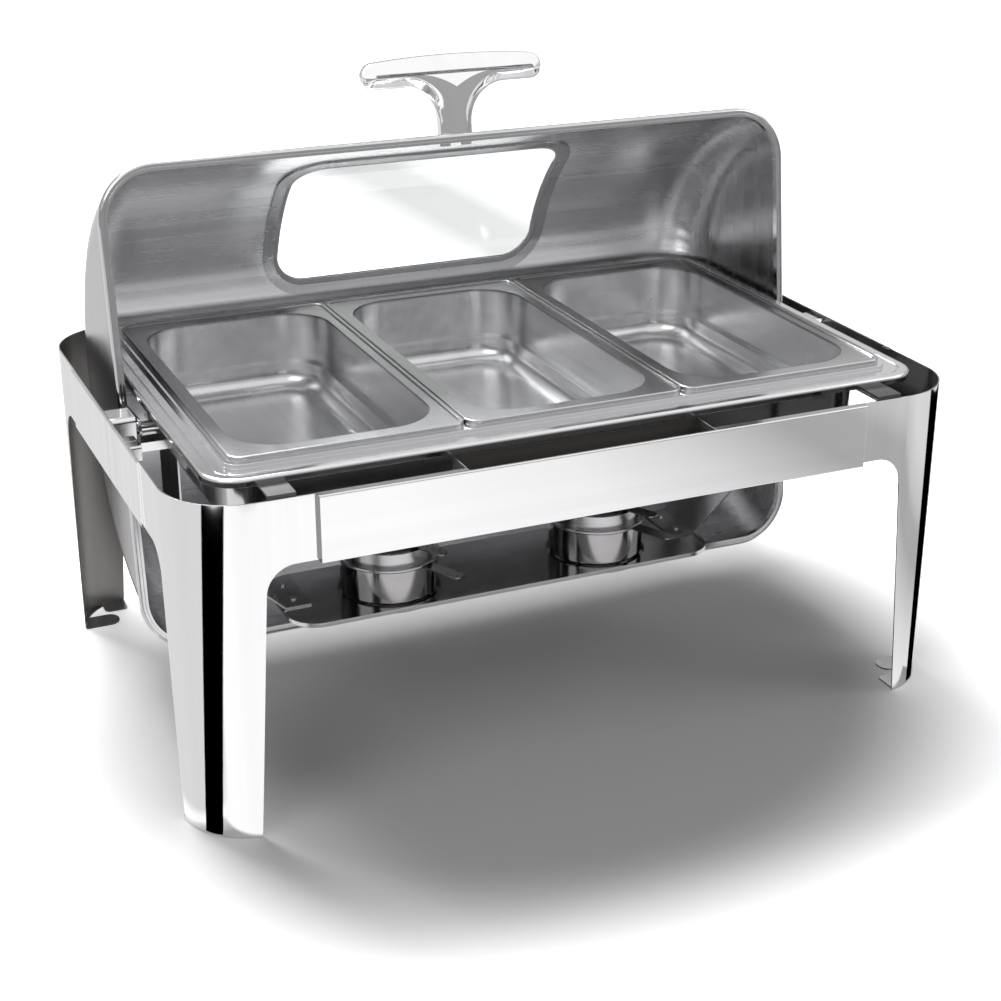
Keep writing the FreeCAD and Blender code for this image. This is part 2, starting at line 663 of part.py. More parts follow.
def make_side_rail(side, sx):
    body = new_body(f"side_rail_{side}")
    outer = "leg_half_length + side_rail_proud"
    bottom = "stand_height - band_height"
    section = outline(body, "XZ_Plane", [
        (mirrored(sx, outer), bottom),
        (mirrored(sx, outer), "stand_height"),
        (mirrored(sx, outer + " - side_rail_flange"), "stand_height"),
        (mirrored(sx, outer + " - side_rail_flange"), "stand_height - sheet"),
        (mirrored(sx, outer + " - sheet"), "stand_height - sheet"),
        (mirrored(sx, outer + " - sheet"), bottom + " + sheet"),
        (mirrored(sx, outer + " - side_rail_flange"), bottom + " + sheet"),
        (mirrored(sx, outer + " - side_rail_flange"), bottom),
    ], offset="-1 * side_rail_half_length")
    add(body, section, "side_rail_half_length * 2")
    low_x, high_x = between(sx, "leg_half_length", outer + " - sheet / 2")
    for start in ("-1 * side_rail_half_length", "side_rail_half_length - sheet"):
        end = outline(body, "XZ_Plane",
                      span(low_x, high_x, bottom + " + sheet / 2", "stand_height - sheet / 2"),
                      offset=start)
        add(body, end, "sheet")
    round_corners(body, section, [0, 1], "sheet * 0.9")
    low_x, high_x = between(sx, outer + " - side_seam_depth", outer + " + overcut")
    groove = outline(body, "XY_Plane", span(
        low_x, high_x, "-1 * side_seam - side_seam_width", "-1 * side_seam"), offset=bottom + " - overcut")
    cut(body, groove, "band_height + 2 * overcut")


def make_rail_studs():
    """Weld studs between each rail and the arms behind it."""
    studs = []
    middle = "stand_height - band_height / 2"
    for sx in (-1, 1):
        for sy in (-1, 1):
            for step in (-0.5, 0.5):
                height = f"{middle} + {step} * stud_spacing"
                start = "leg_half_width" if sy > 0 else "-1 * (leg_half_width + rail_proud - sheet)"
                studs.append(cylinder("rail_stud", "stud_radius", "rail_proud - sheet", "Y", (
                    mirrored(sx, "rail_half_length - stud_inset"), start, height)))
                start = ("leg_half_length" if sx > 0
                         else "-1 * (leg_half_length + side_rail_proud - sheet)")
                studs.append(cylinder("side_rail_stud", "stud_radius", "side_rail_proud - sheet", "X", (
                    start, mirrored(sy, "side_rail_half_length - stud_inset"), height)))
    group("rail_studs", studs)


def make_front_trough():
    """An open folded box behind the front rail."""
    body = new_body("front_trough")
    face = "-1 * (leg_half_width + rail_proud - sheet)"
    back = face + " + trough_width"
    bottom = "stand_height - trough_depth"
    shell = outline(body, "XY_Plane", span("-1 * trough_left", "trough_right", face, back),
                    offset=bottom)
    add(body, shell, "trough_depth")
    hollow = outline(body, "XY_Plane", span(
        "-1 * trough_left + trough_sheet", "trough_right - trough_sheet",
        face + " + trough_sheet", back + " - trough_sheet"), offset=bottom + " + trough_sheet")
    cut(body, hollow, "trough_depth")


def make_corner_bracket(side, sx):
    """A plate riveted to the leg's arm, with a folded seat under the water pan's corner."""
    body = new_body(f"corner_bracket_{side}")
    face = "leg_half_width - sheet"
    plate = outline(body, "XZ_Plane", [
        (mirrored(sx, "bracket_middle - bracket_width / 2"), "water_rim_bottom"),
        (mirrored(sx, "bracket_middle + bracket_width / 2"), "water_rim_bottom"),
        (mirrored(sx, "bracket_middle + bracket_width / 2"), "water_rim_bottom - bracket_drop"),
        (mirrored(sx, "bracket_middle"), "water_rim_bottom - bracket_drop"),
        (mirrored(sx, "bracket_middle - bracket_width / 2"), "water_rim_bottom - bracket_drop / 2"),
    ], offset=face + " - bracket_sheet")
    add(body, plate, "bracket_sheet")
    low_x, high_x = between(sx, "bracket_middle - bracket_width / 2", "bracket_middle + bracket_width / 2")
    seat = outline(body, "XY_Plane", span(
        low_x, high_x, f"-1 * ({face})", "water_middle - water_rim_half_width + bracket_seat"),
        offset="water_rim_bottom - bracket_sheet")
    add(body, seat, "bracket_sheet")


def make_bracket_rivets():
    rivets = []
    for sx in (-1, 1):
        for step in (-0.5, 0.5):
            rivets.append(cylinder("bracket_rivet", "bracket_rivet_radius", "rivet_height", "Y", (
                mirrored(sx, f"bracket_middle + bracket_width / 4 + {step / 2} * bracket_rivet_spacing"),
                "-1 * (leg_half_width - sheet - bracket_sheet)",
                f"water_rim_bottom - bracket_drop / 2 - {step} * bracket_rivet_spacing")))
    group("bracket_rivets", rivets)


# ---------------------------------------------------------------- pivot
def make_hinge_bracket(side, sx):
    """A block on the side rail that carries the pin, with a small foot in front."""
    body = new_body(f"hinge_bracket_{side}")
    inner_face = "leg_half_length + side_rail_proud - sheet"
    low_x, high_x = between(sx, "hub_inner", inner_face)
    length = f"({high_x}) - ({low_x})"
    hub = outline(body, "YZ_Plane", rectangle("hub_size / 2", "hub_size / 2", "0", "pivot_height"),
                  offset=low_x)
    add(body, hub, length)
    round_corners(body, hub, [0, 1, 2, 3], "hub_rounding")
    foot = outline(body, "YZ_Plane", span(
        "-1 * (hub_size / 2 + hub_foot_width)", "-1 * bar_half_width",
        "pivot_height - hub_foot_drop", "pivot_height - hub_foot_drop + hub_foot_height"), offset=low_x)
    add(body, foot, length)
    round_corners(body, foot, [0, 3], "hub_rounding / 2")
    bore = circles(body, "YZ_Plane", ("0", "pivot_height", "pin_radius"), offset=low_x)
    cut(body, bore, length)


def make_hinge_pin(side, sx):
    body = new_body(f"hinge_pin_{side}")
    low_x, high_x = between(sx, "pin_inner", "leg_half_length + side_rail_proud - sheet")
    shank = circles(body, "YZ_Plane", ("0", "pivot_height", "pin_radius"), offset=low_x)
    add(body, shank, f"({high_x}) - ({low_x})")


def make_hinge_washer(side, sx):
    """A toothed washer against the hinge block."""
    body = new_body(f"hinge_washer_{side}")
    low_x, high_x = between(sx, "hub_inner - washer_thickness", "hub_inner")
    teeth = 24
    corners = []
    for tooth in range(2 * teeth):
        reach = "washer_radius" if tooth % 2 else "(washer_radius - washer_tooth)"
        angle = 180 * tooth / teeth
        corners.append((f"{reach} * cos({angle})",
                        f"pivot_height - washer_drop + {reach} * sin({angle})"))
    disc = outline(body, "YZ_Plane", corners, offset=low_x)
    add(body, disc, "washer_thickness")
    bore = circles(body, "YZ_Plane", ("0", "pivot_height", "pin_radius"), offset=low_x)
    cut(body, bore, "washer_thickness")


def make_pin_nut(side, sx):
    body = new_body(f"pin_nut_{side}")
    low_x, high_x = between(sx, "support_outer - support_sheet - nut_thickness",
                            "support_outer - support_sheet")
    corners = [(f"nut_radius * cos({60 * step})", f"pivot_height + nut_radius * sin({60 * step})")
               for step in range(6)]
    hexagon = outline(body, "YZ_Plane", corners, offset=low_x)
    add(body, hexagon, "nut_thickness")
    bore = circles(body, "YZ_Plane", ("0", "pivot_height", "pin_radius"), offset=low_x)
    cut(body, bore, "nut_thickness")


def make_support_bar(side, sx):
    """A flat bar under the pin, from the toothed washer to the pan support."""
    body = new_body(f"support_bar_{side}")
    low_x, high_x = between(sx, "support_outer", "hub_inner - washer_thickness")
    section = outline(body, "YZ_Plane", span(
        "-1 * bar_half_width", "bar_half_width",
        "pivot_height - bar_top_drop - bar_thickness", "pivot_height - bar_top_drop"), offset=low_x)
    add(body, section, f"({high_x}) - ({low_x})")


def make_pan_support(side, sx):
    """An upright plate beside the water pan whose folded top carries the pan's rim."""
    body = new_body(f"pan_support_{side}")
    top = "water_rim_top - water_sheet"
    low_x, high_x = between(sx, "support_outer - support_sheet", "support_outer")
    plate = outline(body, "YZ_Plane", span(
        "-1 * support_half_width", "support_half_width", "pivot_height - support_drop", top),
        offset=low_x)
    add(body, plate, "support_sheet")
    round_corners(body, plate, [0, 1], "support_drop / 2")
    bore = circles(body, "YZ_Plane", ("0", "pivot_height", "pin_radius"), offset=low_x)
    cut(body, bore, "support_sheet")
    low_x, high_x = between(sx, "support_outer - support_sheet", "support_outer + support_flange")
    seat = outline(body, "XY_Plane", span(
        low_x, high_x, "-1 * support_half_width", "support_half_width"),
        offset=top + " - support_sheet")
    add(body, seat, "support_sheet")


def make_shelf_hanger(side, sx):
    """A slanted strap from the pan support down to the fuel shelf."""
    body = new_body(f"shelf_hanger_{side}")
    top_x = "support_outer - support_sheet"
    top_z = "pivot_height - nut_radius - 1"
    strap = outline(body, "XZ_Plane", [
        (mirrored(sx, "hanger_foot - hanger_foot_length"), "shelf_top"),
        (mirrored(sx, "hanger_foot"), "shelf_top"),
        (mirrored(sx, top_x), "hanger_bend_height"),
        (mirrored(sx, top_x), top_z),
        (mirrored(sx, top_x + " - hanger_sheet"), top_z),
        (mirrored(sx, top_x + " - hanger_sheet"), "hanger_bend_height + hanger_sheet / 2"),
        (mirrored(sx, "hanger_foot - hanger_sheet / 2"), "shelf_top + hanger_sheet"),
        (mirrored(sx, "hanger_foot - hanger_foot_length"), "shelf_top + hanger_sheet"),
    ], offset="-1 * hanger_back")
    add(body, strap, "hanger_back - hanger_front")


# ---------------------------------------------------------------- fuel shelf
def make_fuel_shelf():
    """A flat tray with a folded edge and two round recesses for the burners."""
    body = new_body("fuel_shelf")
    half_width = "(shelf_back - shelf_front) / 2"
    middle = "(shelf_back + shelf_front) / 2"
    tray = rounded(body, "XY_Plane",
                   (rectangle("shelf_half_length", half_width, "0", middle), "shelf_corner"),
                   offset="shelf_top - shelf_lip")
    add(body, tray, "shelf_lip")
    under = rounded(body, "XY_Plane", (rectangle(
        "shelf_half_length - shelf_sheet", half_width + " - shelf_sheet", "0", middle),
        "shelf_corner - shelf_sheet"), offset="shelf_top - shelf_lip")
    cut(body, under, "shelf_lip - shelf_sheet")
    places = [mirrored(sx, "burner_offset") for sx in (-1, 1)]
    recess = "cup_radius + recess_clearance"
    wells = circles(body, "XY_Plane", *[(place, "burner_middle", recess + " + shelf_sheet")
                                        for place in places],
                    offset="shelf_top - recess_depth - shelf_sheet")
    add(body, wells, "recess_depth + shelf_sheet / 2")
    hollows = circles(body, "XY_Plane", *[(place, "burner_middle", recess)
                                          for place in places],
                      offset="shelf_top - recess_depth")
    cut(body, hollows, "recess_depth + overcut")


def make_shelf_rivets():
    rivets = []
    for sx in (-1, 1):
        for sy in (-1, 1):
            rivets.append(cylinder("shelf_rivet", "shelf_rivet_radius", "rivet_height", "Z", (
                mirrored(sx, "hanger_foot - hanger_foot_length / 2"),
                f"(hanger_front + hanger_back) / 2 + {sy} * (hanger_back - hanger_front) / 4",
                "shelf_top + hanger_sheet")))
    group("shelf_rivets", rivets)


# ---------------------------------------------------------------- cover
def open_cover(item):
    """Moves a piece drawn closed, about the pivot, to its place on the open cover."""
    item.Placement = FreeCAD.Placement(
        FreeCAD.Vector(), FreeCAD.Rotation(FreeCAD.Vector(-1, 0, 0), size("lid_open_angle")))
    bind(item, "Placement.Base.z", "pivot_height")
    bind(item, "Placement.Rotation.Angle", "lid_open_angle")
    return item


def dome(name, radius, half_length, rounding, base):
    """A half drum about the X axis, standing on a level base, with rounded ends."""
    drum = cylinder(name + "_drum", radius, f"2 * ({half_length})", "X",
                    (mirrored(-1, half_length), "0", "0"))
    upper = block(name + "_upper", (mirrored(-1, half_length), mirrored(-1, radius), base),
                  (half_length, radius, radius))
    solid = join("Common", name + "_solid", drum, upper)
    doc.recompute()
    arcs = []
    for index, edge in enumerate(solid.Shape.Edges, start=1):
        if isinstance(edge.Curve, Part.Circle):
            arcs.append(index)
    rounded = doc.addObject("Part::Fillet", name + "_rounded")
    rounded.Base = solid
    rounded.Edges = [(index, rounding, rounding) for index in arcs]
    doc.recompute()
    return rounded


def window_block(name, half_length, half_height, corner):
    """A rounded block through the roof, square to the middle of the window."""
    item = block(name, (mirrored(-1, half_length), mirrored(-1, half_height), "lid_radius * 0.6"),
                 (half_length, half_height, "lid_radius * 1.2"))
    doc.recompute()
    uprights = []
    for index, edge in enumerate(item.Shape.Edges, start=1):
        along = edge.Vertexes[1].Point - edge.Vertexes[0].Point
        if abs(along.x) < ROUND_OFF and abs(along.y) < ROUND_OFF:
            uprights.append(index)
    rounded = doc.addObject("Part::Fillet", name + "_rounded")
    rounded.Base = item
    rounded.Edges = [(index, corner, corner) for index in uprights]
    rounded.Placement = FreeCAD.Placement(
        FreeCAD.Vector(), FreeCAD.Rotation(FreeCAD.Vector(1, 0, 0), 90 - size("window_angle")))
    bind(rounded, "Placement.Rotation.Angle", "90 - window_angle")
    return rounded


def roof_layer(name, inner, outer):
    """A thin tube about the pivot axis."""
    start = ("-1 * lid_half_length", "0", "0")
    thick = cylinder(name + "_outer", outer, "2 * lid_half_length", "X", start)
    thin = cylinder(name + "_inner", inner, "2 * lid_half_length", "X", start)
    return join("Cut", name + "_tube", thick, thin)


def window_layer(name, inner, outer, band_out, band_in):
    """A curved piece of the window; band_out and band_in widen the opening's outline."""
    tube = roof_layer(name, inner, outer)
    whole = window_block(name + "_outline", f"window_half_length + ({band_out})",
                         f"window_half_height + ({band_out})", number(f"window_corner + ({band_out})"))
    piece = join("Common", name + "_piece", tube, whole)
    if band_in is not None:
        hole = window_block(name + "_hole", f"window_half_length + ({band_in})",
                            f"window_half_height + ({band_in})", number(f"window_corner + ({band_in})"))
        piece = join("Cut", name + "_ring", piece, hole)
    return open_cover(node(piece, name))


def make_lid_shell():
    base = "rim_height + rim_thickness"
    outer = dome("lid_outside", "lid_radius", "lid_half_length", size("lid_end_rounding"), base)
    inner = dome("lid_inside", "lid_radius - lid_sheet", "lid_half_length - lid_sheet",
                 size("lid_end_rounding") - size("lid_sheet"), base + " - overcut")
    shell = join("Cut", "lid_shell_plain", outer, inner)
    holes = [window_block("lid_window_opening", "window_half_length", "window_half_height",
                          size("window_corner"))]
    for step in (-0.5, 0.5):
        holes.append(cylinder("lid_handle_hole", "handle_screw_radius", "lid_radius / 4", "Y", (
            f"{step} * handle_screw_spacing", "-1 * (lid_radius + overcut)", HANDLE_MIDDLE)))
    for sx in (-1, 1):
        for height in ("plate_screw_low", "plate_screw_high"):
            start = mirrored(sx, "lid_half_length") + " - overcut"
            holes.append(cylinder("lid_plate_hole", "plate_screw_radius", "2 * overcut", "X",
                                  (start, "0", height)))
    tools = doc.addObject("Part::MultiFuse", "lid_holes")
    tools.Shapes = holes
    open_cover(node(join("Cut", "lid_shell", shell, tools), "lid_shell"))


def make_lid_rim():
    """A beaded frame round the cover's open side."""
    body = new_body("lid_rim")
    ring = rounded(body, "XY_Plane",
                   (rectangle("rim_outer_length", "rim_outer_width"), "rim_corner"),
                   offset="rim_height")
    add(body, ring, "rim_thickness")
    soften(body, level_edges(body.Shape, ring), "rim_bead_radius")
    opening = rounded(body, "XY_Plane", (rectangle(
        "rim_outer_length - rim_band", "rim_outer_width - rim_band"), "rim_corner - rim_band"),
        offset="rim_height - overcut")
    cut(body, opening, "rim_thickness + 2 * overcut")
    groove_start = "(rim_band - rim_groove) / 2"
    groove_end = "(rim_band + rim_groove) / 2"
    groove = rounded(
        body, "XY_Plane",
        (rectangle("rim_outer_length - " + groove_start, "rim_outer_width - " + groove_start),
         "rim_corner - " + groove_start),
        (rectangle("rim_outer_length - " + groove_end, "rim_outer_width - " + groove_end),
         "rim_corner - " + groove_end),
        offset="rim_height - overcut")
    cut(body, groove, "overcut + rim_groove / 2")
    open_cover(body)


HANDLE_MIDDLE = "rim_height + handle_above_rim + handle_thickness / 2"


def make_handle():
    """A cast T: a bar across the end of a stem that stands on the cover's front."""
    body = new_body("handle")
    stem = "handle_stem_width / 2"
    tee = outline(body, "XY_Plane", [
        (mirrored(-1, stem), "-1 * (lid_radius - handle_root)"),
        (mirrored(-1, stem), "-1 * handle_bar_inner"),
        ("-1 * handle_half_length", "-1 * handle_bar_inner"),
        ("-1 * handle_half_length", "-1 * handle_bar_outer"),
        ("handle_half_length", "-1 * handle_bar_outer"),
        ("handle_half_length", "-1 * handle_bar_inner"),
        (stem, "-1 * handle_bar_inner"),
        (stem, "-1 * (lid_radius - handle_root)"),
    ], offset="rim_height + handle_above_rim")
    add(body, tee, "handle_thickness")
    round_corners(body, tee, [1, 6], "handle_blend")
    round_corners(body, tee, [2, 3, 4, 5], "handle_end_rounding")
    roof = circles(body, "YZ_Plane", ("0", "0", "lid_radius"), offset="-1 * handle_half_length")
    cut(body, roof, "2 * handle_half_length")
    edges = [name for name in level_edges(body.Shape, tee)
             if min(point.y for point in body.Shape.getElement(name).discretize(9))
             < -size("lid_radius") - ROUND_OFF]
    soften(body, edges, "handle_bevel", kind="Chamfer")
    screws = circles(body, "XZ_Plane", *[
        (f"{step} * handle_screw_spacing", HANDLE_MIDDLE, "handle_screw_radius")
        for step in (-0.5, 0.5)], offset="lid_radius - handle_root")
    cut(body, screws, "handle_screw_reach + handle_root")
    open_cover(body)


def make_handle_screws():
    """Screws from inside the cover into the handle's stem."""
    inside = f"sqrt((lid_radius - lid_sheet)^2 - ({HANDLE_MIDDLE})^2)"
    tip = "-1 * (lid_radius + handle_screw_reach)"
    head_side = f"lid_sheet - ({inside})"
    screws = []
    for step in (-0.5, 0.5):
        x_text = f"{step} * handle_screw_spacing"
        shank = cylinder("handle_screw_shank", "handle_screw_radius", f"{head_side} - ({tip})", "Y",
                         (x_text, tip, HANDLE_MIDDLE))
        head = cylinder("handle_screw_head", "screw_head_radius", "screw_head_height", "Y",
                        (x_text, head_side, HANDLE_MIDDLE))
        screws.append(join("Fuse", "handle_screw", shank, head))
    open_cover(group("handle_screws", screws))


def make_window():
    """Gasket in the opening, glass in the gasket, and a frame inside the roof."""
    window_layer("window_gasket", "lid_radius - lid_sheet - gasket_proud", "lid_radius + gasket_proud",
                 "0", "-1 * gasket_band")
    window_layer("window_glass", "lid_radius - lid_sheet / 2 - glass_thickness / 2",
                 "lid_radius - lid_sheet / 2 + glass_thickness / 2", "-1 * gasket_band", None)
    window_layer("window_frame", "lid_radius - lid_sheet - window_frame_sheet", "lid_radius - lid_sheet",
                 "window_frame_band", "0")


def make_lid_hinge_plate(side, sx):
    """A strap inside the cover's end that turns on the pin."""
    body = new_body(f"lid_hinge_plate_{side}")
    low_x, high_x = between(sx, "hinge_plate_inner", "hinge_plate_inner + hinge_plate_sheet")
    strap = outline(body, "YZ_Plane", [
        ("-1 * hinge_plate_eye", "-1 * hinge_plate_eye"),
        ("hinge_plate_eye", "-1 * hinge_plate_eye"),
        ("hinge_plate_top", "hinge_plate_height"),
        ("-1 * hinge_plate_top", "hinge_plate_height"),
    ], offset=low_x)
    add(body, strap, "hinge_plate_sheet")
    round_corners(body, strap, [0, 1], "hinge_plate_eye * 0.9")
    round_corners(body, strap, [2, 3], "hinge_plate_top / 3")
    holes = circles(body, "YZ_Plane", ("0", "0", "pin_radius + pin_clearance"),
                    ("0", "plate_screw_low", "plate_screw_radius"),
                    ("0", "plate_screw_high", "plate_screw_radius"), offset=low_x)
    cut(body, holes, "hinge_plate_sheet")
    open_cover(body)


def make_hinge_plate_spacers():
    """Rings that hold each hinge plate off the cover's end."""
    rings = []
    outer_face = "hinge_plate_inner + hinge_plate_sheet"
    length = f"lid_half_length - lid_sheet - ({outer_face})"
    for sx in (-1, 1):
        start, end = between(sx, outer_face, "lid_half_length - lid_sheet")
        for height in ("plate_screw_low", "plate_screw_high"):
            whole = cylinder("spacer_outer", "spacer_radius", length, "X", (start, "0", height))
            hole = cylinder("spacer_bore", "plate_screw_radius", length, "X", (start, "0", height))
            rings.append(join("Cut", "spacer", whole, hole))
    open_cover(group("hinge_plate_spacers", rings))


def make_hinge_plate_screws():
    screws = []
    for sx in (-1, 1):
        shank_low, shank_high = between(sx, "hinge_plate_inner", "lid_half_length + plate_screw_end")
        head_low, head_high = between(sx, "hinge_plate_inner - plate_screw_head_height", "hinge_plate_inner")
        for height in ("plate_screw_low", "plate_screw_high"):
            shank = cylinder("plate_screw_shank", "plate_screw_radius",
                             f"({shank_high}) - ({shank_low})", "X", (shank_low, "0", height))
            head = cylinder("plate_screw_head", "plate_screw_head", "plate_screw_head_height", "X",
                            (head_low, "0", height))
            screws.append(join("Fuse", "plate_screw", shank, head))
    open_cover(group("hinge_plate_screws", screws))


# ---------------------------------------------------------------- pans
def make_water_pan():
    """A deep pan with a grooved rim, a raised seat for the food pans and one open well."""
    body = new_body("water_pan")

    def area(half_length, half_width):
        return rectangle(half_length, half_width, "0", "water_middle")

    rim = rounded(body, "XY_Plane",
                  (area("water_rim_half_length", "water_rim_half_width"), "water_rim_corner"),
                  offset="water_rim_bottom")
    add(body, rim, "water_rim_top - water_rim_bottom")
    soften(body, flat_edges_at(body.Shape, "water_rim_top"), "water_rim_bead")
    inset = "water_groove_inset + water_groove"
    groove = rounded(
        body, "XY_Plane",
        (area("water_rim_half_length - water_groove_inset", "water_rim_half_width - water_groove_inset"),
         "water_rim_corner - water_groove_inset"),
        (area(f"water_rim_half_length - ({inset})", f"water_rim_half_width - ({inset})"),
         f"water_rim_corner - ({inset})"),
        offset="water_rim_top - water_groove_depth")
    cut(body, groove, "overcut")
    seat = rounded(body, "XY_Plane",
                   (area("water_seat_half_length", "water_seat_half_width"), "water_rim_corner / 2"),
                   offset="water_rim_top - water_sheet / 2")
    add(body, seat, "water_seat_rise + water_sheet / 2")
    under = rounded(
        body, "XY_Plane",
        (area("water_rim_half_length - water_sheet", "water_rim_half_width - water_sheet"),
         "water_rim_corner - water_sheet"),
        (area("water_half_length", "water_half_width"), "water_corner"),
        offset="water_rim_bottom - overcut")
    cut(body, under, "water_rim_top - water_rim_bottom + overcut - water_sheet")
    well = rounded(body, "XY_Plane", (area("water_half_length", "water_half_width"), "water_corner"),
                   offset="water_bottom")
    add(body, well, "water_rim_top - water_sheet / 2 - water_bottom")
    hollow = rounded(body, "XY_Plane",
                     (area("water_half_length - water_sheet", "water_half_width - water_sheet"),
                      "water_corner - water_sheet"),
                     offset="water_bottom + water_sheet")
    cut(body, hollow, "water_rim_top + water_seat_rise + overcut - water_bottom")
    soften(body, level_edges(body.Shape, hollow), "water_floor_rounding - water_sheet")
    soften(body, level_edges(body.Shape, well), "water_floor_rounding")


def make_food_pan(name, step):
    """A third-size pan: a beaded flange, a well with a shoulder, and a rounded floor."""
    body = new_body(name)
    seat = "water_rim_top + water_seat_rise"
    middle_x = f"{step} * pan_pitch"

    def area(inset_x, inset_y):
        return rectangle(f"pan_width / 2 - ({inset_x})", f"pan_length / 2 - ({inset_y})",
                         middle_x, "pan_middle")

    flange = rounded(body, "XY_Plane", (area("0", "0"), "pan_corner"), offset=seat)
    add(body, flange, "pan_flange_height")
    land = rounded(body, "XY_Plane", (area("pan_bead", "pan_bead"), "pan_corner - pan_bead"),
                   offset=seat + " + pan_flange_height - pan_bead_rise")
    cut(body, land, "overcut")
    soften(body, flat_edges_at(body.Shape, seat + " + pan_flange_height"), "pan_bead_rounding")
    under = rounded(body, "XY_Plane", (area("pan_sheet", "pan_sheet"), "pan_corner - pan_sheet"),
                    offset=seat + " - overcut")
    cut(body, under, "pan_flange_height - pan_bead_rise - pan_sheet + overcut")

    top = seat + " + pan_flange_height - pan_bead_rise - pan_sheet / 2"
    floor = seat + " + pan_flange_height - pan_depth"
    shoulder = seat + " + pan_flange_height - pan_shoulder_depth"
    side = "pan_side_land + pan_shoulder"
    end = "pan_end_land + pan_shoulder"
    lower = rounded(body, "XY_Plane", (area(side, end), "pan_well_corner - pan_shoulder"), offset=floor)
    add(body, lower, f"({top}) - ({floor})")
    upper = rounded(body, "XY_Plane", (area("pan_side_land", "pan_end_land"), "pan_well_corner"),
                    offset=shoulder)
    add(body, upper, f"({top}) - ({shoulder})")
    low_hollow = rounded(body, "XY_Plane", (area(side + " + pan_sheet", end + " + pan_sheet"),
                                            "pan_well_corner - pan_shoulder - pan_sheet"),
                         offset=floor + " + pan_sheet")
    cut(body, low_hollow, "pan_depth + overcut")
    soften(body, level_edges(body.Shape, low_hollow), "pan_floor_rounding - pan_sheet")
    soften(body, level_edges(body.Shape, lower), "pan_floor_rounding")
    high_hollow = rounded(body, "XY_Plane", (area("pan_side_land + pan_sheet", "pan_end_land + pan_sheet"),
                                             "pan_well_corner - pan_sheet"),
                          offset=shoulder + " + pan_sheet")
    cut(body, high_hollow, "pan_shoulder_depth + overcut")


# ---------------------------------------------------------------- burners
BURNER_FLOOR = "shelf_top - recess_depth"
RING_BOTTOM = BURNER_FLOOR + " + cup_height"
RING_TOP = RING_BOTTOM + " + ring_height"
NECK_TOP = RING_TOP + " + neck_height"
MOUTH_TOP = NECK_TOP + " + mouth_collar"


def place_burner(item, sx):
    bind(item, "Placement.Base.x", mirrored(sx, "burner_offset"))
    bind(item, "Placement.Base.y", "burner_middle")
    return item


def make_burner_cup(side, sx):
    body = new_body(f"burner_cup_{side}")
    profile = outline(body, "XZ_Plane", [
        ("0", BURNER_FLOOR),
        ("cup_radius", BURNER_FLOOR),
        ("cup_radius", RING_BOTTOM),
        ("cup_radius - cup_wall", RING_BOTTOM),
        ("cup_radius - cup_wall", BURNER_FLOOR + " + cup_wall"),
        ("0", BURNER_FLOOR + " + cup_wall"),
    ])
    turn(body, profile)
    soften(body, ring_edges(body.Shape, profile, [4]), "cup_floor_rounding - cup_wall")
    soften(body, ring_edges(body.Shape, profile, [1]), "cup_floor_rounding")
    place_burner(body, sx)


def make_burner_ring(side, sx):
    """The burner's ring, its upright neck and the collar round its mouth, turned in one piece."""
    body = new_body(f"burner_ring_{side}")
    profile = outline(body, "XZ_Plane", [
        ("cup_radius + ring_overhang", RING_BOTTOM),
        ("cup_radius + ring_overhang", RING_TOP),
        ("cup_radius - neck_step", RING_TOP),
        ("cup_radius - neck_step", NECK_TOP),
        ("burner_mouth + cup_wall", NECK_TOP),
        ("burner_mouth + cup_wall", MOUTH_TOP),
        ("burner_mouth", MOUTH_TOP),
        ("burner_mouth", NECK_TOP + " - cup_wall"),
        ("cup_radius - neck_step - cup_wall", NECK_TOP + " - cup_wall"),
        ("cup_radius - neck_step - cup_wall", RING_BOTTOM),
    ])
    turn(body, profile)
    soften(body, ring_edges(body.Shape, profile, [0, 1]), "ring_height * 0.4")
    place_burner(body, sx)


def lever(body, start, reach, low, thickness):
    """A flat strip with a rounded end that runs out along the lever's direction."""
    strip = outline(body, "XY_Plane", span(start, reach, "-1 * lever_width / 2", "lever_width / 2"),
                    offset=low)
    add(body, strip, thickness)
    round_corners(body, strip, [1, 2], "lever_width * 0.4")


def turn_to_lever(item, sx):
    item.Placement = FreeCAD.Placement(
        FreeCAD.Vector(), FreeCAD.Rotation(FreeCAD.Vector(0, 0, 1), size("lever_angle")))
    bind(item, "Placement.Rotation.Angle", "lever_angle")
    place_burner(item, sx)


def make_burner_handle(side, sx):
    """The holder's own handle, a strip that starts at the ring's outer edge."""
    body = new_body(f"burner_handle_{side}")
    lever(body, "cup_radius + ring_overhang", "holder_lever_reach",
          RING_BOTTOM + " + ring_height / 4", "lever_sheet")
    turn_to_lever(body, sx)


def make_burner_cover(side, sx):
    """A round cover over the burner's mouth, with its lever."""
    body = new_body(f"burner_cover_{side}")
    low = MOUTH_TOP + " + cover_gap"
    disc = circles(body, "XY_Plane", ("0", "0", "cover_radius"), offset=low)
    add(body, disc, "cover_sheet")
    lever(body, "cover_radius * 0.6", "cover_lever_reach", low, "cover_sheet")
    ear = circles(body, "XY_Plane", ("0", "cover_pivot_radius", "cover_rivet_radius * 2"), offset=low)
    add(body, ear, "cover_sheet")
    bore = circles(body, "XY_Plane", ("0", "cover_pivot_radius", "cover_rivet_radius / 2 + pin_clearance"),
                   offset=low)
    cut(body, bore, "cover_sheet")
    turn_to_lever(body, sx)


def make_burner_rivet(side, sx):
    """The rivet that the cover swings on."""
    body = new_body(f"burner_rivet_{side}")
    post = circles(body, "XY_Plane", ("0", "cover_pivot_radius", "cover_rivet_radius / 2"), offset=NECK_TOP)
    top = MOUTH_TOP + " + cover_gap * 2 + cover_sheet"
    add(body, post, f"({top}) - ({NECK_TOP})")
    head = circles(body, "XY_Plane", ("0", "cover_pivot_radius", "cover_rivet_radius"), offset=top)
    add(body, head, "cover_sheet")
    turn_to_lever(body, sx)


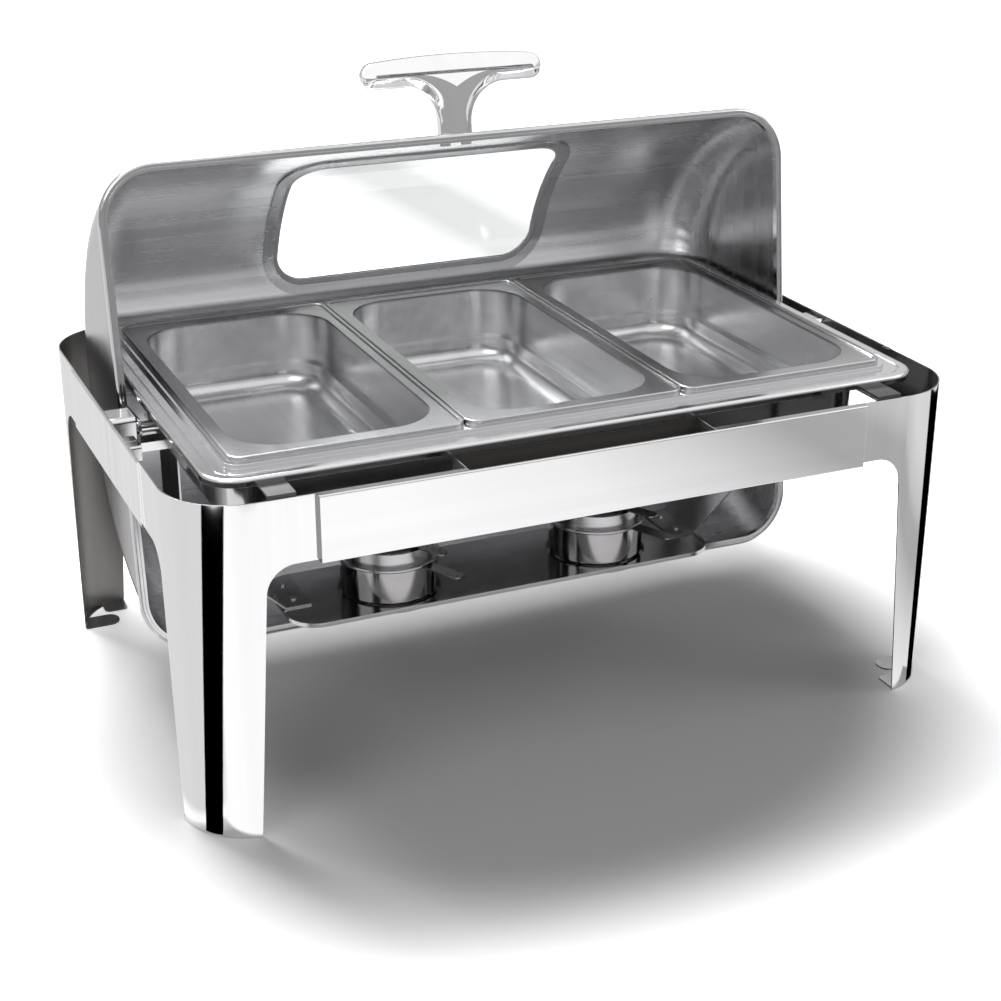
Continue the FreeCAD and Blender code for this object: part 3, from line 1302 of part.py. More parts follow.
def main():
    for side, sx in SIDES:
        for end, sy in ENDS:
            make_leg(side, sx, end, sy)
    make_front_rail()
    make_rail("back_rail", 1)
    make_rail_studs()
    make_front_trough()
    make_bracket_rivets()
    for side, sx in SIDES:
        make_side_rail(side, sx)
        make_corner_bracket(side, sx)
        make_hinge_bracket(side, sx)
        make_hinge_pin(side, sx)
        make_hinge_washer(side, sx)
        make_pin_nut(side, sx)
        make_support_bar(side, sx)
        make_pan_support(side, sx)
        make_shelf_hanger(side, sx)
        make_lid_hinge_plate(side, sx)
    make_fuel_shelf()
    make_shelf_rivets()
    make_lid_shell()
    make_lid_rim()
    make_handle()
    make_handle_screws()
    make_window()
    make_hinge_plate_spacers()
    make_hinge_plate_screws()
    make_water_pan()
    for name, step in (("food_pan_left", -1), ("food_pan_centre", 0), ("food_pan_right", 1)):
        make_food_pan(name, step)
    for side, sx in SIDES:
        make_burner_cup(side, sx)
        make_burner_ring(side, sx)
        make_burner_handle(side, sx)
        make_burner_cover(side, sx)
        make_burner_rivet(side, sx)
    doc.recompute()
    write_parts()


def write_parts():
    """Checks every object of the document, then writes one file for each sub-part."""
    for item in doc.Objects:
        if "Invalid" in item.State or "Error" in item.State:
            raise RuntimeError(f"{item.Label} failed: {item.State}")
    for item in nodes:
        if item.Shape.isNull() or not item.Shape.isValid():
            raise RuntimeError(f"{item.Label} has no sound shape")
    os.makedirs("parts", exist_ok=True)
    for item in nodes:
        item.Shape.exportStep(f"parts/{item.Label}.step")
        print(item.Label, len(item.Shape.Solids), round(item.Shape.Volume, 1))


main()
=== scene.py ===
"""Roll top chafer: steel finishes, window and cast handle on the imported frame, with a pale
studio floor, soft lights and a camera.

Lengths are in metres. +X is to the right, +Y to the back and +Z up.
"""

import json
import math

import bmesh
import bpy
from bpy.props import FloatProperty, FloatVectorProperty, PointerProperty
from mathutils import Matrix, Vector


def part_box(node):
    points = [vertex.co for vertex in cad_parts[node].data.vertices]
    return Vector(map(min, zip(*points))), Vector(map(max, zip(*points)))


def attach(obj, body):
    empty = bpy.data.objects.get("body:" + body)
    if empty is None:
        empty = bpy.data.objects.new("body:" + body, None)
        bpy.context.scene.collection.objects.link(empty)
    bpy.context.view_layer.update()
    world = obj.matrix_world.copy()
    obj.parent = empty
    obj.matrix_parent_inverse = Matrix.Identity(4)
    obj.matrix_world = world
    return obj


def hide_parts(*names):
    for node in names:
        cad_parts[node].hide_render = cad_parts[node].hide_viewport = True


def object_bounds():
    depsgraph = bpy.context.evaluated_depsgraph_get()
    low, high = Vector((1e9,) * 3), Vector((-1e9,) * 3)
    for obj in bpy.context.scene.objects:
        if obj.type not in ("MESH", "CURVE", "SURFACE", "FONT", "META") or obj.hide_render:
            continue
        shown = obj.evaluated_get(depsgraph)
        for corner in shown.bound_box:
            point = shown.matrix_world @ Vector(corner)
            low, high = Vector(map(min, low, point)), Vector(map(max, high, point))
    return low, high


bl_info = {
    "name": "Roll top chafer",
    "version": (1, 0, 0),
    "blender": (4, 5, 0),
    "location": "3D View > Sidebar > Chafer",
    "description": "Finishes a roll top chafer's steel, window and handle, and sets up its studio",
    "category": "Object",
}

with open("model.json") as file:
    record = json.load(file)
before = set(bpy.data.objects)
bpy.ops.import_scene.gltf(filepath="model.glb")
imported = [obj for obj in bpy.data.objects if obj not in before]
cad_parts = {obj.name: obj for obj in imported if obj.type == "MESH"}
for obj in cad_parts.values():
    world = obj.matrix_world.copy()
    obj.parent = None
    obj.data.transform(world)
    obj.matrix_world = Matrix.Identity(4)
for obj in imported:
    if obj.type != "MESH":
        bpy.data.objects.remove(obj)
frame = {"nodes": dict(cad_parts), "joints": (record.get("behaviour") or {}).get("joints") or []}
CAD_LOW, CAD_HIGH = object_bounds()
NODES = frame["nodes"]
SIDES = ("left", "right")
LEG_CORNER = 0.054


def hinge_of_cover():
    """The pivot point and the open angle, in degrees, of the cover's joint."""
    joint = next(item for item in frame["joints"] if item["name"] == "lid_roll")
    return Vector(joint["pos_m"]), -joint["range_deg"][0]


PIVOT, OPEN_ANGLE = hinge_of_cover()
OPEN_COVER = Matrix.Translation(PIVOT) @ Matrix.Rotation(math.radians(-OPEN_ANGLE), 4, "X")


# ---------------------------------------------------------------- settings
def colour_setting(name, description, default):
    return FloatVectorProperty(name=name, description=description, default=default, size=3,
                               subtype="COLOR", min=0.0, max=1.0)


def length_setting(name, description, default):
    return FloatProperty(name=name, description=description, default=default, min=0.0,
                         unit="LENGTH", precision=4)


def share_setting(name, description, default):
    return FloatProperty(name=name, description=description, default=default, min=0.0, max=1.0,
                         subtype="FACTOR")


class ChaferSteel(bpy.types.PropertyGroup):
    polished: colour_setting("Polished steel", "Colour of the mirror-polished sheet", (0.86, 0.86, 0.87))
    satin: colour_setting("Satin steel", "Colour of the satin sheet", (0.56, 0.56, 0.57))
    # Painted shade: the trough and the inner side of the back legs, the back rail and the side rails
    # take this dark colour. It also colours the toothed washers and the burner levers.
    inside: colour_setting("Dark steel and painted shade", "Colour of the trough and the back legs' inner side",
                           (0.18, 0.175, 0.17))
    shaded: colour_setting("Shaded steel", "Colour of the brackets and the front legs' inner side",
                           (0.12, 0.12, 0.12))
    pan: colour_setting("Pan steel", "Colour of the deep drawn pans", (0.68, 0.68, 0.69))
    cover_inside: colour_setting("Cover inside", "Colour of the cover's inner side",
                                 (0.92, 0.92, 0.93))
    cup: colour_setting("Burner cups", "Colour of the burners' turned steel", (0.38, 0.37, 0.37))
    fittings: colour_setting("Fittings", "Colour of pins, nuts, screws and rivets", (0.80, 0.80, 0.81))
    polished_roughness: share_setting("Polish roughness", "Roughness of the polished sheet", 0.035)
    satin_roughness: share_setting("Satin roughness", "Roughness of the satin sheet", 0.27)
    pan_roughness: share_setting("Pan roughness", "Roughness of the pans", 0.21)
    edge: length_setting("Edge rounding", "Rounding that catches light on cut edges", 0.0005)


class ChaferWindow(bpy.types.PropertyGroup):
    seal: colour_setting("Seal", "Colour of the rubber seal", (0.50, 0.50, 0.51))
    glass: colour_setting("Glass", "Tint of the window pane", (0.965, 0.985, 0.98))


class ChaferHandle(bpy.types.PropertyGroup):
    chrome: colour_setting("Chrome", "Colour of the handle's plating", (0.96, 0.96, 0.97))
    roughness: share_setting("Roughness", "Roughness of the plating", 0.06)
    stem_width: length_setting("Stem width", "Width of the stem above the cover", 0.028)
    blend: length_setting("Blend", "Radius between the stem and the bar", 0.030)
    end_rounding: length_setting("End rounding", "Corner radius of the bar's ends", 0.0095)
    arch: length_setting("Arch", "How far the bar's ends drop below its middle", 0.004)


class ChaferStudio(bpy.types.PropertyGroup):
    floor: colour_setting("Floor", "Colour of the studio floor", (0.90, 0.90, 0.90))
    card: colour_setting("Card", "Colour of the dark cards that the steel reflects", (0.0, 0.0, 0.0))
    ambient: FloatProperty(name="Ambient", description="Strength of the light from all round",
                           default=0.12, min=0.0)
    camera_place: FloatVectorProperty(name="Camera", description="Place of the camera", size=3,
                                      default=(-0.5708, -1.3175, 0.7396), subtype="TRANSLATION")
    camera_down: FloatProperty(name="Tilt", description="How far the camera looks down",
                               default=math.radians(22.91), subtype="ANGLE")
    camera_turn: FloatProperty(name="Turn", description="How far the camera looks to the right",
                               default=math.radians(23.83), subtype="ANGLE")
    lens: FloatProperty(name="Lens", description="Focal length in millimetres", default=66.93, min=1.0)


# ---------------------------------------------------------------- shader building
def add_node(tree, kind, inputs=None, **options):
    """A shader node; inputs maps a socket's name or number to a value or to another socket."""
    item = tree.nodes.new(kind)
    for name, value in options.items():
        setattr(item, name, value)
    for key, value in (inputs or {}).items():
        socket = item.inputs[key]
        if isinstance(value, bpy.types.NodeSocket):
            tree.links.new(value, socket)
        else:
            socket.default_value = value
    return item


def maths(tree, operation, first, second=0.0, clamp=False):
    item = add_node(tree, "ShaderNodeMath", {0: first, 1: second}, operation=operation, use_clamp=clamp)
    return item.outputs[0]


def vector_maths(tree, operation, first, second=(0.0, 0.0, 0.0)):
    item = add_node(tree, "ShaderNodeVectorMath", {0: first, 1: second}, operation=operation)
    return item.outputs["Value" if operation == "DOT_PRODUCT" else "Vector"]


def remap(tree, value, low, high, start, end):
    """Carries the stretch from low to high over to the stretch from start to end."""
    item = add_node(tree, "ShaderNodeMapRange", {
        "Value": value, "From Min": low, "From Max": high, "To Min": start, "To Max": end})
    return item.outputs["Result"]


def mix_colours(tree, share, first, second):
    item = add_node(tree, "ShaderNodeMix", data_type="RGBA")
    for name, value in (("Factor_Float", share), ("A_Color", first), ("B_Color", second)):
        socket = next(found for found in item.inputs if found.identifier == name)
        if isinstance(value, bpy.types.NodeSocket):
            tree.links.new(value, socket)
        else:
            socket.default_value = value
    return next(found for found in item.outputs if found.identifier == "Result_Color")


def place_parts(tree):
    """The X, Y and Z of the point that is shaded, in its object's own frame."""
    place = tree.nodes.new("ShaderNodeTexCoord").outputs["Object"]
    return add_node(tree, "ShaderNodeSeparateXYZ", {0: place}).outputs


def looks_along(tree, axis, low, high):
    """0 where a surface looks away from an axis, 1 where it looks along it, either way."""
    normal = tree.nodes.new("ShaderNodeTexCoord").outputs["Normal"]
    along = maths(tree, "ABSOLUTE", vector_maths(tree, "DOT_PRODUCT", normal, axis))
    return remap(tree, along, low, high, 0.0, 1.0)


def opaque(colour, share=1.0):
    """A colour with its alpha, scaled by a share and no lighter than white."""
    return (*[min(value * share, 1.0) for value in colour], 1.0)


def new_group(name, inputs, outputs):
    """An empty shader node group; each socket is its name, kind and default."""
    group = bpy.data.node_groups.new(name, "ShaderNodeTree")
    for socket_name, kind, default in inputs:
        socket = group.interface.new_socket(socket_name, in_out="INPUT", socket_type="NodeSocket" + kind)
        socket.default_value = default
    for socket_name, kind in outputs:
        group.interface.new_socket(socket_name, in_out="OUTPUT", socket_type="NodeSocket" + kind)
    return group, group.nodes.new("NodeGroupInput"), group.nodes.new("NodeGroupOutput")


def brushed_grain():
    """Fine lines left by brushing or rolling, with slow changes of tone along them."""
    name = "brushed_grain"
    if name in bpy.data.node_groups:
        return bpy.data.node_groups[name]
    group, start, end = new_group(
        name, (("Lines", "Vector", (20.0, 20.0, 900.0)), ("Streaks", "Vector", (6.0, 6.0, 60.0))),
        (("Height", "Float"), ("Tone", "Float")))
    place = group.nodes.new("ShaderNodeTexCoord").outputs["Object"]
    lines = add_node(group, "ShaderNodeTexNoise", {
        "Vector": vector_maths(group, "MULTIPLY", place, start.outputs["Lines"]),
        "Scale": 1.0, "Detail": 4.0, "Roughness": 0.6})
    streaks = add_node(group, "ShaderNodeTexNoise", {
        "Vector": vector_maths(group, "MULTIPLY", place, start.outputs["Streaks"]),
        "Scale": 1.0, "Detail": 3.0, "Roughness": 0.55})
    group.links.new(lines.outputs["Fac"], end.inputs["Height"])
    group.links.new(remap(group, streaks.outputs["Fac"], 0.3, 0.7, 0.0, 1.0), end.inputs["Tone"])
    return group


def handling_marks():
    """Soft wipe marks."""
    name = "handling_marks"
    if name in bpy.data.node_groups:
        return bpy.data.node_groups[name]
    group, start, end = new_group(name, (("Scale", "Float", 1.0),), (("Smudge", "Float"),))
    place = group.nodes.new("ShaderNodeTexCoord").outputs["Object"]
    scaled = add_node(group, "ShaderNodeVectorMath", {0: place, "Scale": start.outputs["Scale"]},
                      operation="SCALE").outputs["Vector"]
    clouds = add_node(group, "ShaderNodeTexNoise", {
        "Vector": scaled, "Scale": 14.0, "Detail": 5.0, "Roughness": 0.55, "Distortion": 0.6})
    group.links.new(remap(group, clouds.outputs["Fac"], 0.45, 0.75, 0.0, 1.0), end.inputs["Smudge"])
    return group


def sheet_waves():
    """The slow unevenness of thin sheet, which bends its reflections a little."""
    name = "sheet_waves"
    if name in bpy.data.node_groups:
        return bpy.data.node_groups[name]
    group, start, end = new_group(name, (("Scale", "Float", 7.0),), (("Height", "Float"),))
    place = group.nodes.new("ShaderNodeTexCoord").outputs["Object"]
    waves = add_node(group, "ShaderNodeTexNoise", {
        "Vector": place, "Scale": start.outputs["Scale"], "Detail": 1.0, "Roughness": 0.4})
    group.links.new(waves.outputs["Fac"], end.inputs["Height"])
    return group


def inner_side():
    """1 where a surface faces a middle point, and 0 where it faces away."""
    name = "inner_side"
    if name in bpy.data.node_groups:
        return bpy.data.node_groups[name]
    group, start, end = new_group(
        name, (("Middle", "Vector", (0.0, 0.0, 0.0)), ("Axes", "Vector", (1.0, 1.0, 0.0))),
        (("Mask", "Float"),))
    place = group.nodes.new("ShaderNodeTexCoord")
    away = vector_maths(group, "SUBTRACT", place.outputs["Object"], start.outputs["Middle"])
    away = vector_maths(group, "MULTIPLY", away, start.outputs["Axes"])
    facing = vector_maths(group, "DOT_PRODUCT", away, place.outputs["Normal"])
    group.links.new(remap(group, facing, 0.002, -0.002, 0.0, 1.0), end.inputs["Mask"])
    return group


def use_group(tree, group, **inputs):
    item = tree.nodes.new("ShaderNodeGroup")
    item.node_tree = group
    for name, value in inputs.items():
        item.inputs[name].default_value = value
    return item.outputs


def new_material(name):
    material = bpy.data.materials.new(name)
    material.use_nodes = True
    tree = material.node_tree
    return material, tree, tree.nodes["Principled BSDF"]


BLACK = (0.0, 0.0, 0.0, 1.0)
WHITE = (1.0, 1.0, 1.0, 1.0)

# How fast the brushed lines change along X, Y and Z, for each way that they can run.
ACROSS_X = (14.0, 1600.0, 1600.0)
ACROSS_Y = (1600.0, 14.0, 1600.0)
UPRIGHT = (1600.0, 1600.0, 14.0)
STREAK_SHARE = 0.045
STREAK_ROUGHNESS = 0.25
INNER_TONE = 2.0
END_SHADE = 0.55


def brushed(tree, lines):
    return use_group(tree, brushed_grain(), Lines=lines,
                     Streaks=tuple(value * STREAK_SHARE for value in lines))


def steel(name, colour, roughness, lines, tone=0.10, grain=0.05, waves=0.0, marks=0.06,
          inside=None, edge=None, ends=None, end_lines=None):
    """Bare steel. lines is how fast the grain changes along each axis, tone how far the streaks
    lighten and darken it, grain and waves the depths in the surface, marks how much rougher the
    wipe marks are, edge the rounding that catches light, and ends the axis of cut ends, which get
    painted shade in the shaded colour. inside is the colour and the roughness of the side that
    faces a middle point, with that point and the axes that count; a dark inside colour is painted
    shade. end_lines is the grain of faces that look along X, which get painted shade on the inner
    side."""
    material, tree, shader = new_material(name)
    settings = bpy.context.scene.chafer_steel
    grained = brushed(tree, lines)
    if end_lines is not None:
        end_face = looks_along(tree, (1.0, 0.0, 0.0), 0.5, 0.9)
        crosswise = brushed(tree, end_lines)
        grained = {part: mix_colours(tree, end_face, grained[part], crosswise[part])
                   for part in ("Tone", "Height")}
    worn = use_group(tree, handling_marks(), Scale=1.0)

    base = mix_colours(tree, grained["Tone"], opaque(colour, 1 - tone), opaque(colour, 1 + tone))
    rough = remap(tree, worn["Smudge"], 0.0, 1.0, roughness, roughness + marks)
    streaked = maths(tree, "MULTIPLY", grained["Tone"], roughness * STREAK_ROUGHNESS)
    rough = maths(tree, "ADD", rough, streaked)
    if inside is not None:
        inner_colour, inner_roughness, middle, axes = inside
        mask = use_group(tree, inner_side(), Middle=middle, Axes=axes)["Mask"]
        inner_dark = (*[value * (1 - INNER_TONE * tone) for value in inner_colour], 1.0)
        inner_light = (*[value * (1 + INNER_TONE * tone) for value in inner_colour], 1.0)
        inner_base = mix_colours(tree, grained["Tone"], inner_dark, inner_light)
        if end_lines is not None:
            inner_base = mix_colours(tree, maths(tree, "MULTIPLY", end_face, END_SHADE),
                                     inner_base, BLACK)
        base = mix_colours(tree, mask, base, inner_base)
        rougher = maths(tree, "MULTIPLY", mask, inner_roughness - roughness)
        rough = maths(tree, "ADD", rough, rougher)
    if ends is not None:
        cut = looks_along(tree, ends, 0.7, 0.95)
        base = mix_colours(tree, cut, base, opaque(settings.shaded))
    tree.links.new(base, shader.inputs["Base Color"])
    tree.links.new(rough, shader.inputs["Roughness"])
    shader.inputs["Metallic"].default_value = 1.0

    rounded = add_node(tree, "ShaderNodeBevel", {"Radius": settings.edge if edge is None else edge},
                       samples=4)
    normal = rounded.outputs["Normal"]
    if waves:
        uneven = use_group(tree, sheet_waves())
        bump = add_node(tree, "ShaderNodeBump", {
            "Height": uneven["Height"], "Distance": 0.001, "Strength": waves, "Normal": normal})
        normal = bump.outputs["Normal"]
    bump = add_node(tree, "ShaderNodeBump", {
        "Height": grained["Height"], "Distance": 0.0001, "Strength": grain, "Normal": normal})
    tree.links.new(bump.outputs["Normal"], shader.inputs["Normal"])
    return material


def add_facet(material, middle, lean, dip, half_width):
    """Leans the surface back above a level edge, which dips at the middle of the handle by dip,
    over half_width to each side."""
    tree = material.node_tree
    shader = tree.nodes["Principled BSDF"]
    place = place_parts(tree)
    from_middle = maths(tree, "ABSOLUTE", place["X"])
    across = remap(tree, from_middle, 0.0, half_width, 1.0, 0.0)
    lowered = maths(tree, "MULTIPLY", maths(tree, "POWER", across, 2.0), dip)
    height = maths(tree, "SUBTRACT", place["Z"], maths(tree, "SUBTRACT", middle, lowered))
    above = remap(tree, height, -FACET_BLEND, FACET_BLEND, 0.0, lean)
    upward = add_node(tree, "ShaderNodeVectorTransform", {"Vector": (0.0, 0.0, 1.0)},
                      vector_type="NORMAL", convert_from="OBJECT", convert_to="WORLD")
    leaning = add_node(tree, "ShaderNodeVectorMath",
                       {0: upward.outputs["Vector"], "Scale": above}, operation="SCALE")
    plain = shader.inputs["Normal"].links[0].from_socket
    normal = vector_maths(tree, "ADD", plain, leaning.outputs["Vector"])
    normal = vector_maths(tree, "NORMALIZE", normal)
    tree.links.new(normal, shader.inputs["Normal"])


def shade_above(material, height, front, back):
    """Darkens steel above a height. front and back are each a place along Y and a share."""
    tree = material.node_tree
    shader = tree.nodes["Principled BSDF"]
    place = place_parts(tree)
    shade = remap(tree, place["Y"], front[0], back[0], front[1], back[1])
    above = remap(tree, place["Z"], height, height + FLANGE_BLEND, 0.0, 1.0)
    base = shader.inputs["Base Color"].links[0].from_socket
    darker = mix_colours(tree, maths(tree, "MULTIPLY", above, shade), base, BLACK)
    tree.links.new(darker, shader.inputs["Base Color"])


def rubber(name, colour):
    """Dull rubber with a fine, even grain."""
    material, tree, shader = new_material(name)
    fine = add_node(tree, "ShaderNodeTexNoise", {
        "Vector": tree.nodes.new("ShaderNodeTexCoord").outputs["Object"],
        "Scale": 900.0, "Detail": 3.0, "Roughness": 0.6}).outputs["Fac"]
    base = mix_colours(tree, fine, opaque(colour, 0.8), opaque(colour, 1.5))
    tree.links.new(base, shader.inputs["Base Color"])
    tree.links.new(remap(tree, fine, 0.2, 0.8, 0.42, 0.60), shader.inputs["Roughness"])
    bump = add_node(tree, "ShaderNodeBump", {"Height": fine, "Distance": 0.0001, "Strength": 0.4})
    tree.links.new(bump.outputs["Normal"], shader.inputs["Normal"])
    return material


def window_glass(name, colour):
    """Clear glass with faint wipe marks."""
    material, tree, shader = new_material(name)
    worn = use_group(tree, handling_marks(), Scale=1.4)
    tree.links.new(remap(tree, worn["Smudge"], 0.0, 1.0, 0.0, 0.015), shader.inputs["Roughness"])
    tint = mix_colours(tree, worn["Smudge"], opaque(colour), opaque(colour, 0.985))
    tree.links.new(tint, shader.inputs["Base Color"])
    shader.inputs["Transmission Weight"].default_value = 1.0
    shader.inputs["IOR"].default_value = 1.45
    return material


def paint(material, *names):
    """Gives CAD nodes one material all over."""
    for name in names:
        mesh = NODES[name].data
        mesh.materials.clear()
        mesh.materials.append(material)


# ---------------------------------------------------------------- mesh building
def new_piece(name, points, faces, material, body):
    mesh = bpy.data.meshes.new(name)
    mesh.from_pydata(points, [], faces)
    builder = bmesh.new()
    builder.from_mesh(mesh)
    bmesh.ops.recalc_face_normals(builder, faces=builder.faces)
    builder.to_mesh(mesh)
    builder.free()
    mesh.update()
    piece = bpy.data.objects.new(name, mesh)
    bpy.context.scene.collection.objects.link(piece)
    mesh.materials.append(material)
    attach(piece, body)
    return piece


def smooth_by_angle(piece, degrees):
    """Smooth shading that keeps the edges sharper than the angle."""
    mesh = piece.data
    mesh.shade_smooth()
    mesh.set_sharp_from_angle(angle=math.radians(degrees))


def arc(middle_x, middle_y, radius, start, end, steps):
    """Points along a round corner, with the angles in degrees."""
    points = []
    for step in range(steps + 1):
        angle = math.radians(start + (end - start) * step / steps)
        points.append((middle_x + radius * math.cos(angle), middle_y + radius * math.sin(angle)))
    return points


def closed_box(name):
    """A cover node's lowest and highest corners with the cover closed, about the pivot."""
    to_closed = OPEN_COVER.inverted()
    points = [to_closed @ vertex.co for vertex in NODES[name].data.vertices]
    low = Vector([min(point[axis] for point in points) for axis in range(3)])
    high = Vector([max(point[axis] for point in points) for axis in range(3)])
    return low, high


# ---------------------------------------------------------------- stand
ALL_ROUND = (1.0, 1.0, 0.0)


def finish_stand():
    settings = bpy.context.scene.chafer_steel
    polish = (settings.polished, settings.polished_roughness)
    # Painted shade: the sheet's inner side, which faces the middle, is coloured dark. The front legs and
    # front rail use the shaded colour, and the back legs, back rail and side rails use the darker inside
    # colour.
    inside = (settings.inside, 0.33, (0.0, 0.0, 0.0), ALL_ROUND)
    shaded = (settings.shaded, 0.20, (0.0, 0.0, 0.0), ALL_ROUND)
    for end, inner in (("front", shaded), ("back", inside)):
        upright = steel(f"polished_{end}_legs", *polish, UPRIGHT,
                        tone=0.03, grain=0.01, waves=0.02, marks=0.02, inside=inner)
        paint(upright, *[f"leg_{end}_{side}" for side in SIDES])
        # The rails' cut ends get painted shade in the shaded colour.
        across = steel(f"polished_{end}_rail", *polish, ACROSS_X, tone=0.03, grain=0.015,
                       waves=0.03, marks=0.03, inside=inner, ends=(1.0, 0.0, 0.0))
        paint(across, f"{end}_rail")
    along = steel("polished_side_rails", *polish, UPRIGHT,
                  tone=0.05, grain=0.02, waves=0.04, marks=0.04, inside=inside)
    paint(along, *[f"side_rail_{side}" for side in SIDES])
    satin = steel("satin_across", settings.satin, settings.satin_roughness, ACROSS_X, grain=0.08)
    # Painted shade: the trough and the corner brackets are coloured dark.
    dark = steel("trough_steel", settings.inside, 0.50, ACROSS_X, grain=0.05)
    paint(dark, "front_trough")
    bracket = steel("bracket_steel", settings.shaded, 0.40, ACROSS_X, grain=0.05)
    paint(bracket, *[f"corner_bracket_{side}" for side in SIDES])
    paint(satin, "rail_studs")


def finish_pivot():
    settings = bpy.context.scene.chafer_steel
    bright = steel("bright_fittings", settings.fittings, 0.10, ACROSS_X, tone=0.06, grain=0.04)
    names = ("hinge_bracket", "hinge_pin", "pin_nut", "support_bar")
    paint(bright, "bracket_rivets", "shelf_rivets",
          *[f"{name}_{side}" for name in names for side in SIDES])
    toothed = steel("toothed_washer_steel", settings.inside, 0.22, UPRIGHT, tone=0.2, grain=0.08)
    paint(toothed, *[f"hinge_washer_{side}" for side in SIDES])
    satin = steel("support_steel", settings.satin, settings.satin_roughness, ACROSS_Y, grain=0.08)
    paint(satin, *[f"pan_support_{side}" for side in SIDES])
    hanger = steel("hanger_steel", settings.satin, 0.14, UPRIGHT, tone=0.12, grain=0.05, waves=0.05)
    paint(hanger, *[f"shelf_hanger_{side}" for side in SIDES])


def finish_shelf():
    settings = bpy.context.scene.chafer_steel
    mirror = steel("shelf_steel", settings.pan, 0.12, ACROSS_X, tone=0.06, grain=0.03, waves=0.04)
    paint(mirror, "fuel_shelf")


# ---------------------------------------------------------------- cover
def finish_cover():
    settings = bpy.context.scene.chafer_steel
    inside = (settings.cover_inside, 0.24, tuple(PIVOT), (1.0, 1.0, 1.0))
    # The cover's inner end faces get painted shade through end_lines.
    shell = steel("cover_steel", settings.satin, 0.22, ACROSS_X, tone=0.025, grain=0.03,
                  waves=0.03, marks=0.01, inside=inside, end_lines=UPRIGHT)
    paint(shell, "lid_shell")
    rim = steel("rim_steel", settings.pan, 0.11, ACROSS_X, tone=0.05, grain=0.03)
    paint(rim, "lid_rim")
    plates = steel("hinge_plate_steel", settings.satin, 0.24, UPRIGHT, grain=0.07)
    paint(plates, *[f"lid_hinge_plate_{side}" for side in SIDES])
    bright = steel("cover_fastener_steel", settings.fittings, 0.12, UPRIGHT, grain=0.05)
    paint(bright, "hinge_plate_spacers", "hinge_plate_screws", "handle_screws")


def finish_window():
    settings = bpy.context.scene.chafer_window
    steel_settings = bpy.context.scene.chafer_steel
    paint(rubber("seal_rubber", settings.seal), "window_gasket")
    paint(window_glass("window_pane", settings.glass), "window_glass")
    band = steel("window_band_steel", steel_settings.satin, 0.24, ACROSS_X, tone=0.04, grain=0.04)
    paint(band, "window_frame")


BAR_WIDTH = 0.024
ROOF_OVERLAP = 0.0004
BAR_STEPS = 8
SHARP_EDGE = 24

# From the edge of the T to its middle: the inset, and the share of the half depth there.
HANDLE_FACETS = (
    (0.0, 0.30), (0.0004, 0.42), (0.0012, 0.52), (0.0024, 0.60), (0.0050, 0.76),
    (0.0084, 0.97), (0.0094, 1.0), (0.0112, 1.0),
)

# The upper facet starts below the middle of the bar, and dips into the stem.
FACET_DROP = 0.001
FACET_LEAN = 0.62
FACET_DIP = 0.011
FACET_HALF_WIDTH = 0.034
FACET_BLEND = 0.0003


def handle_outline(inset, half_length, inner, outer, root, settings):
    """Corners of the T at an inset from its edge, as x and the distance from the pivot."""
    stem = settings.stem_width / 2 - inset
    blend = settings.blend + inset
    end = max(settings.end_rounding - inset, 0.0006)
    tip = half_length - inset
    low = inner + inset
    high = outer - inset

    def dropped(point):
        x, y = point
        if y < (inner + outer) / 2:
            return point
        return x, y - settings.arch * (x / half_length) ** 2

    right = [(stem, root)]
    right += arc(stem + blend, low - blend, blend, 180, 90, 12)
    right += arc(tip - end, low + end, end, -90, 0, 6)
    right += arc(tip - end, high - end, end, 0, 90, 6)
    right += [((tip - end) * step / BAR_STEPS, high) for step in range(BAR_STEPS - 1, 0, -1)]
    right = [dropped(point) for point in right]
    left = [(-x, y) for x, y in reversed(right)]
    return right + [(0.0, high)] + left


def build_handle():
    """A cast T with facets that rise from its edge to a flat middle, on the front and the back."""
    settings = bpy.context.scene.chafer_handle
    low, high = closed_box("handle")
    middle = (low.z + high.z) / 2
    half_depth = (high.z - low.z) / 2
    outer = -low.y
    inner = outer - BAR_WIDTH
    roof_radius = closed_box("lid_shell")[1].z - ROOF_OVERLAP
    half_length = high.x
    points = []
    loops = []
    for face in (-1, 1):
        for inset, share in (HANDLE_FACETS if face < 0 else HANDLE_FACETS[::-1]):
            depth = middle + face * half_depth * share
            root = math.sqrt(roof_radius ** 2 - depth ** 2)
            outline = handle_outline(inset, half_length, inner, outer, root, settings)
            loops.append(range(len(points), len(points) + len(outline)))
            points += [OPEN_COVER @ Vector((x, -reach, depth)) for x, reach in outline]
    count = len(HANDLE_FACETS)
    sequence = loops[:count][::-1] + loops[count:][::-1]
    faces = [tuple(sequence[0]), tuple(sequence[-1])]
    size = len(sequence[0])
    for first, second in zip(sequence, sequence[1:]):
        for index in range(size):
            following = (index + 1) % size
            faces.append((first[index], first[following], second[following], second[index]))
    chrome = steel("handle_chrome", settings.chrome, settings.roughness, UPRIGHT,
                   tone=0.02, grain=0.01, waves=0.08, marks=0.03, edge=0.0008)
    ridge = OPEN_COVER @ Vector((0.0, -(inner + outer) / 2, middle))
    add_facet(chrome, ridge.z - FACET_DROP, FACET_LEAN, FACET_DIP, FACET_HALF_WIDTH)
    piece = new_piece("cast_handle", points, faces, chrome, "lid")
    smooth_by_angle(piece, SHARP_EDGE)
    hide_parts("handle")


# ---------------------------------------------------------------- pans
def finish_water_pan():
    settings = bpy.context.scene.chafer_steel
    mirror = steel("water_pan_steel", settings.fittings, 0.11, ACROSS_X, tone=0.04, grain=0.03,
                   waves=0.06, marks=0.02)
    paint(mirror, "water_pan")


FLANGE_DEPTH = 0.004
FLANGE_BLEND = 0.002
FLANGE_FRONT = (-0.165, 0.15)
FLANGE_BACK = (-0.10, 0.62)


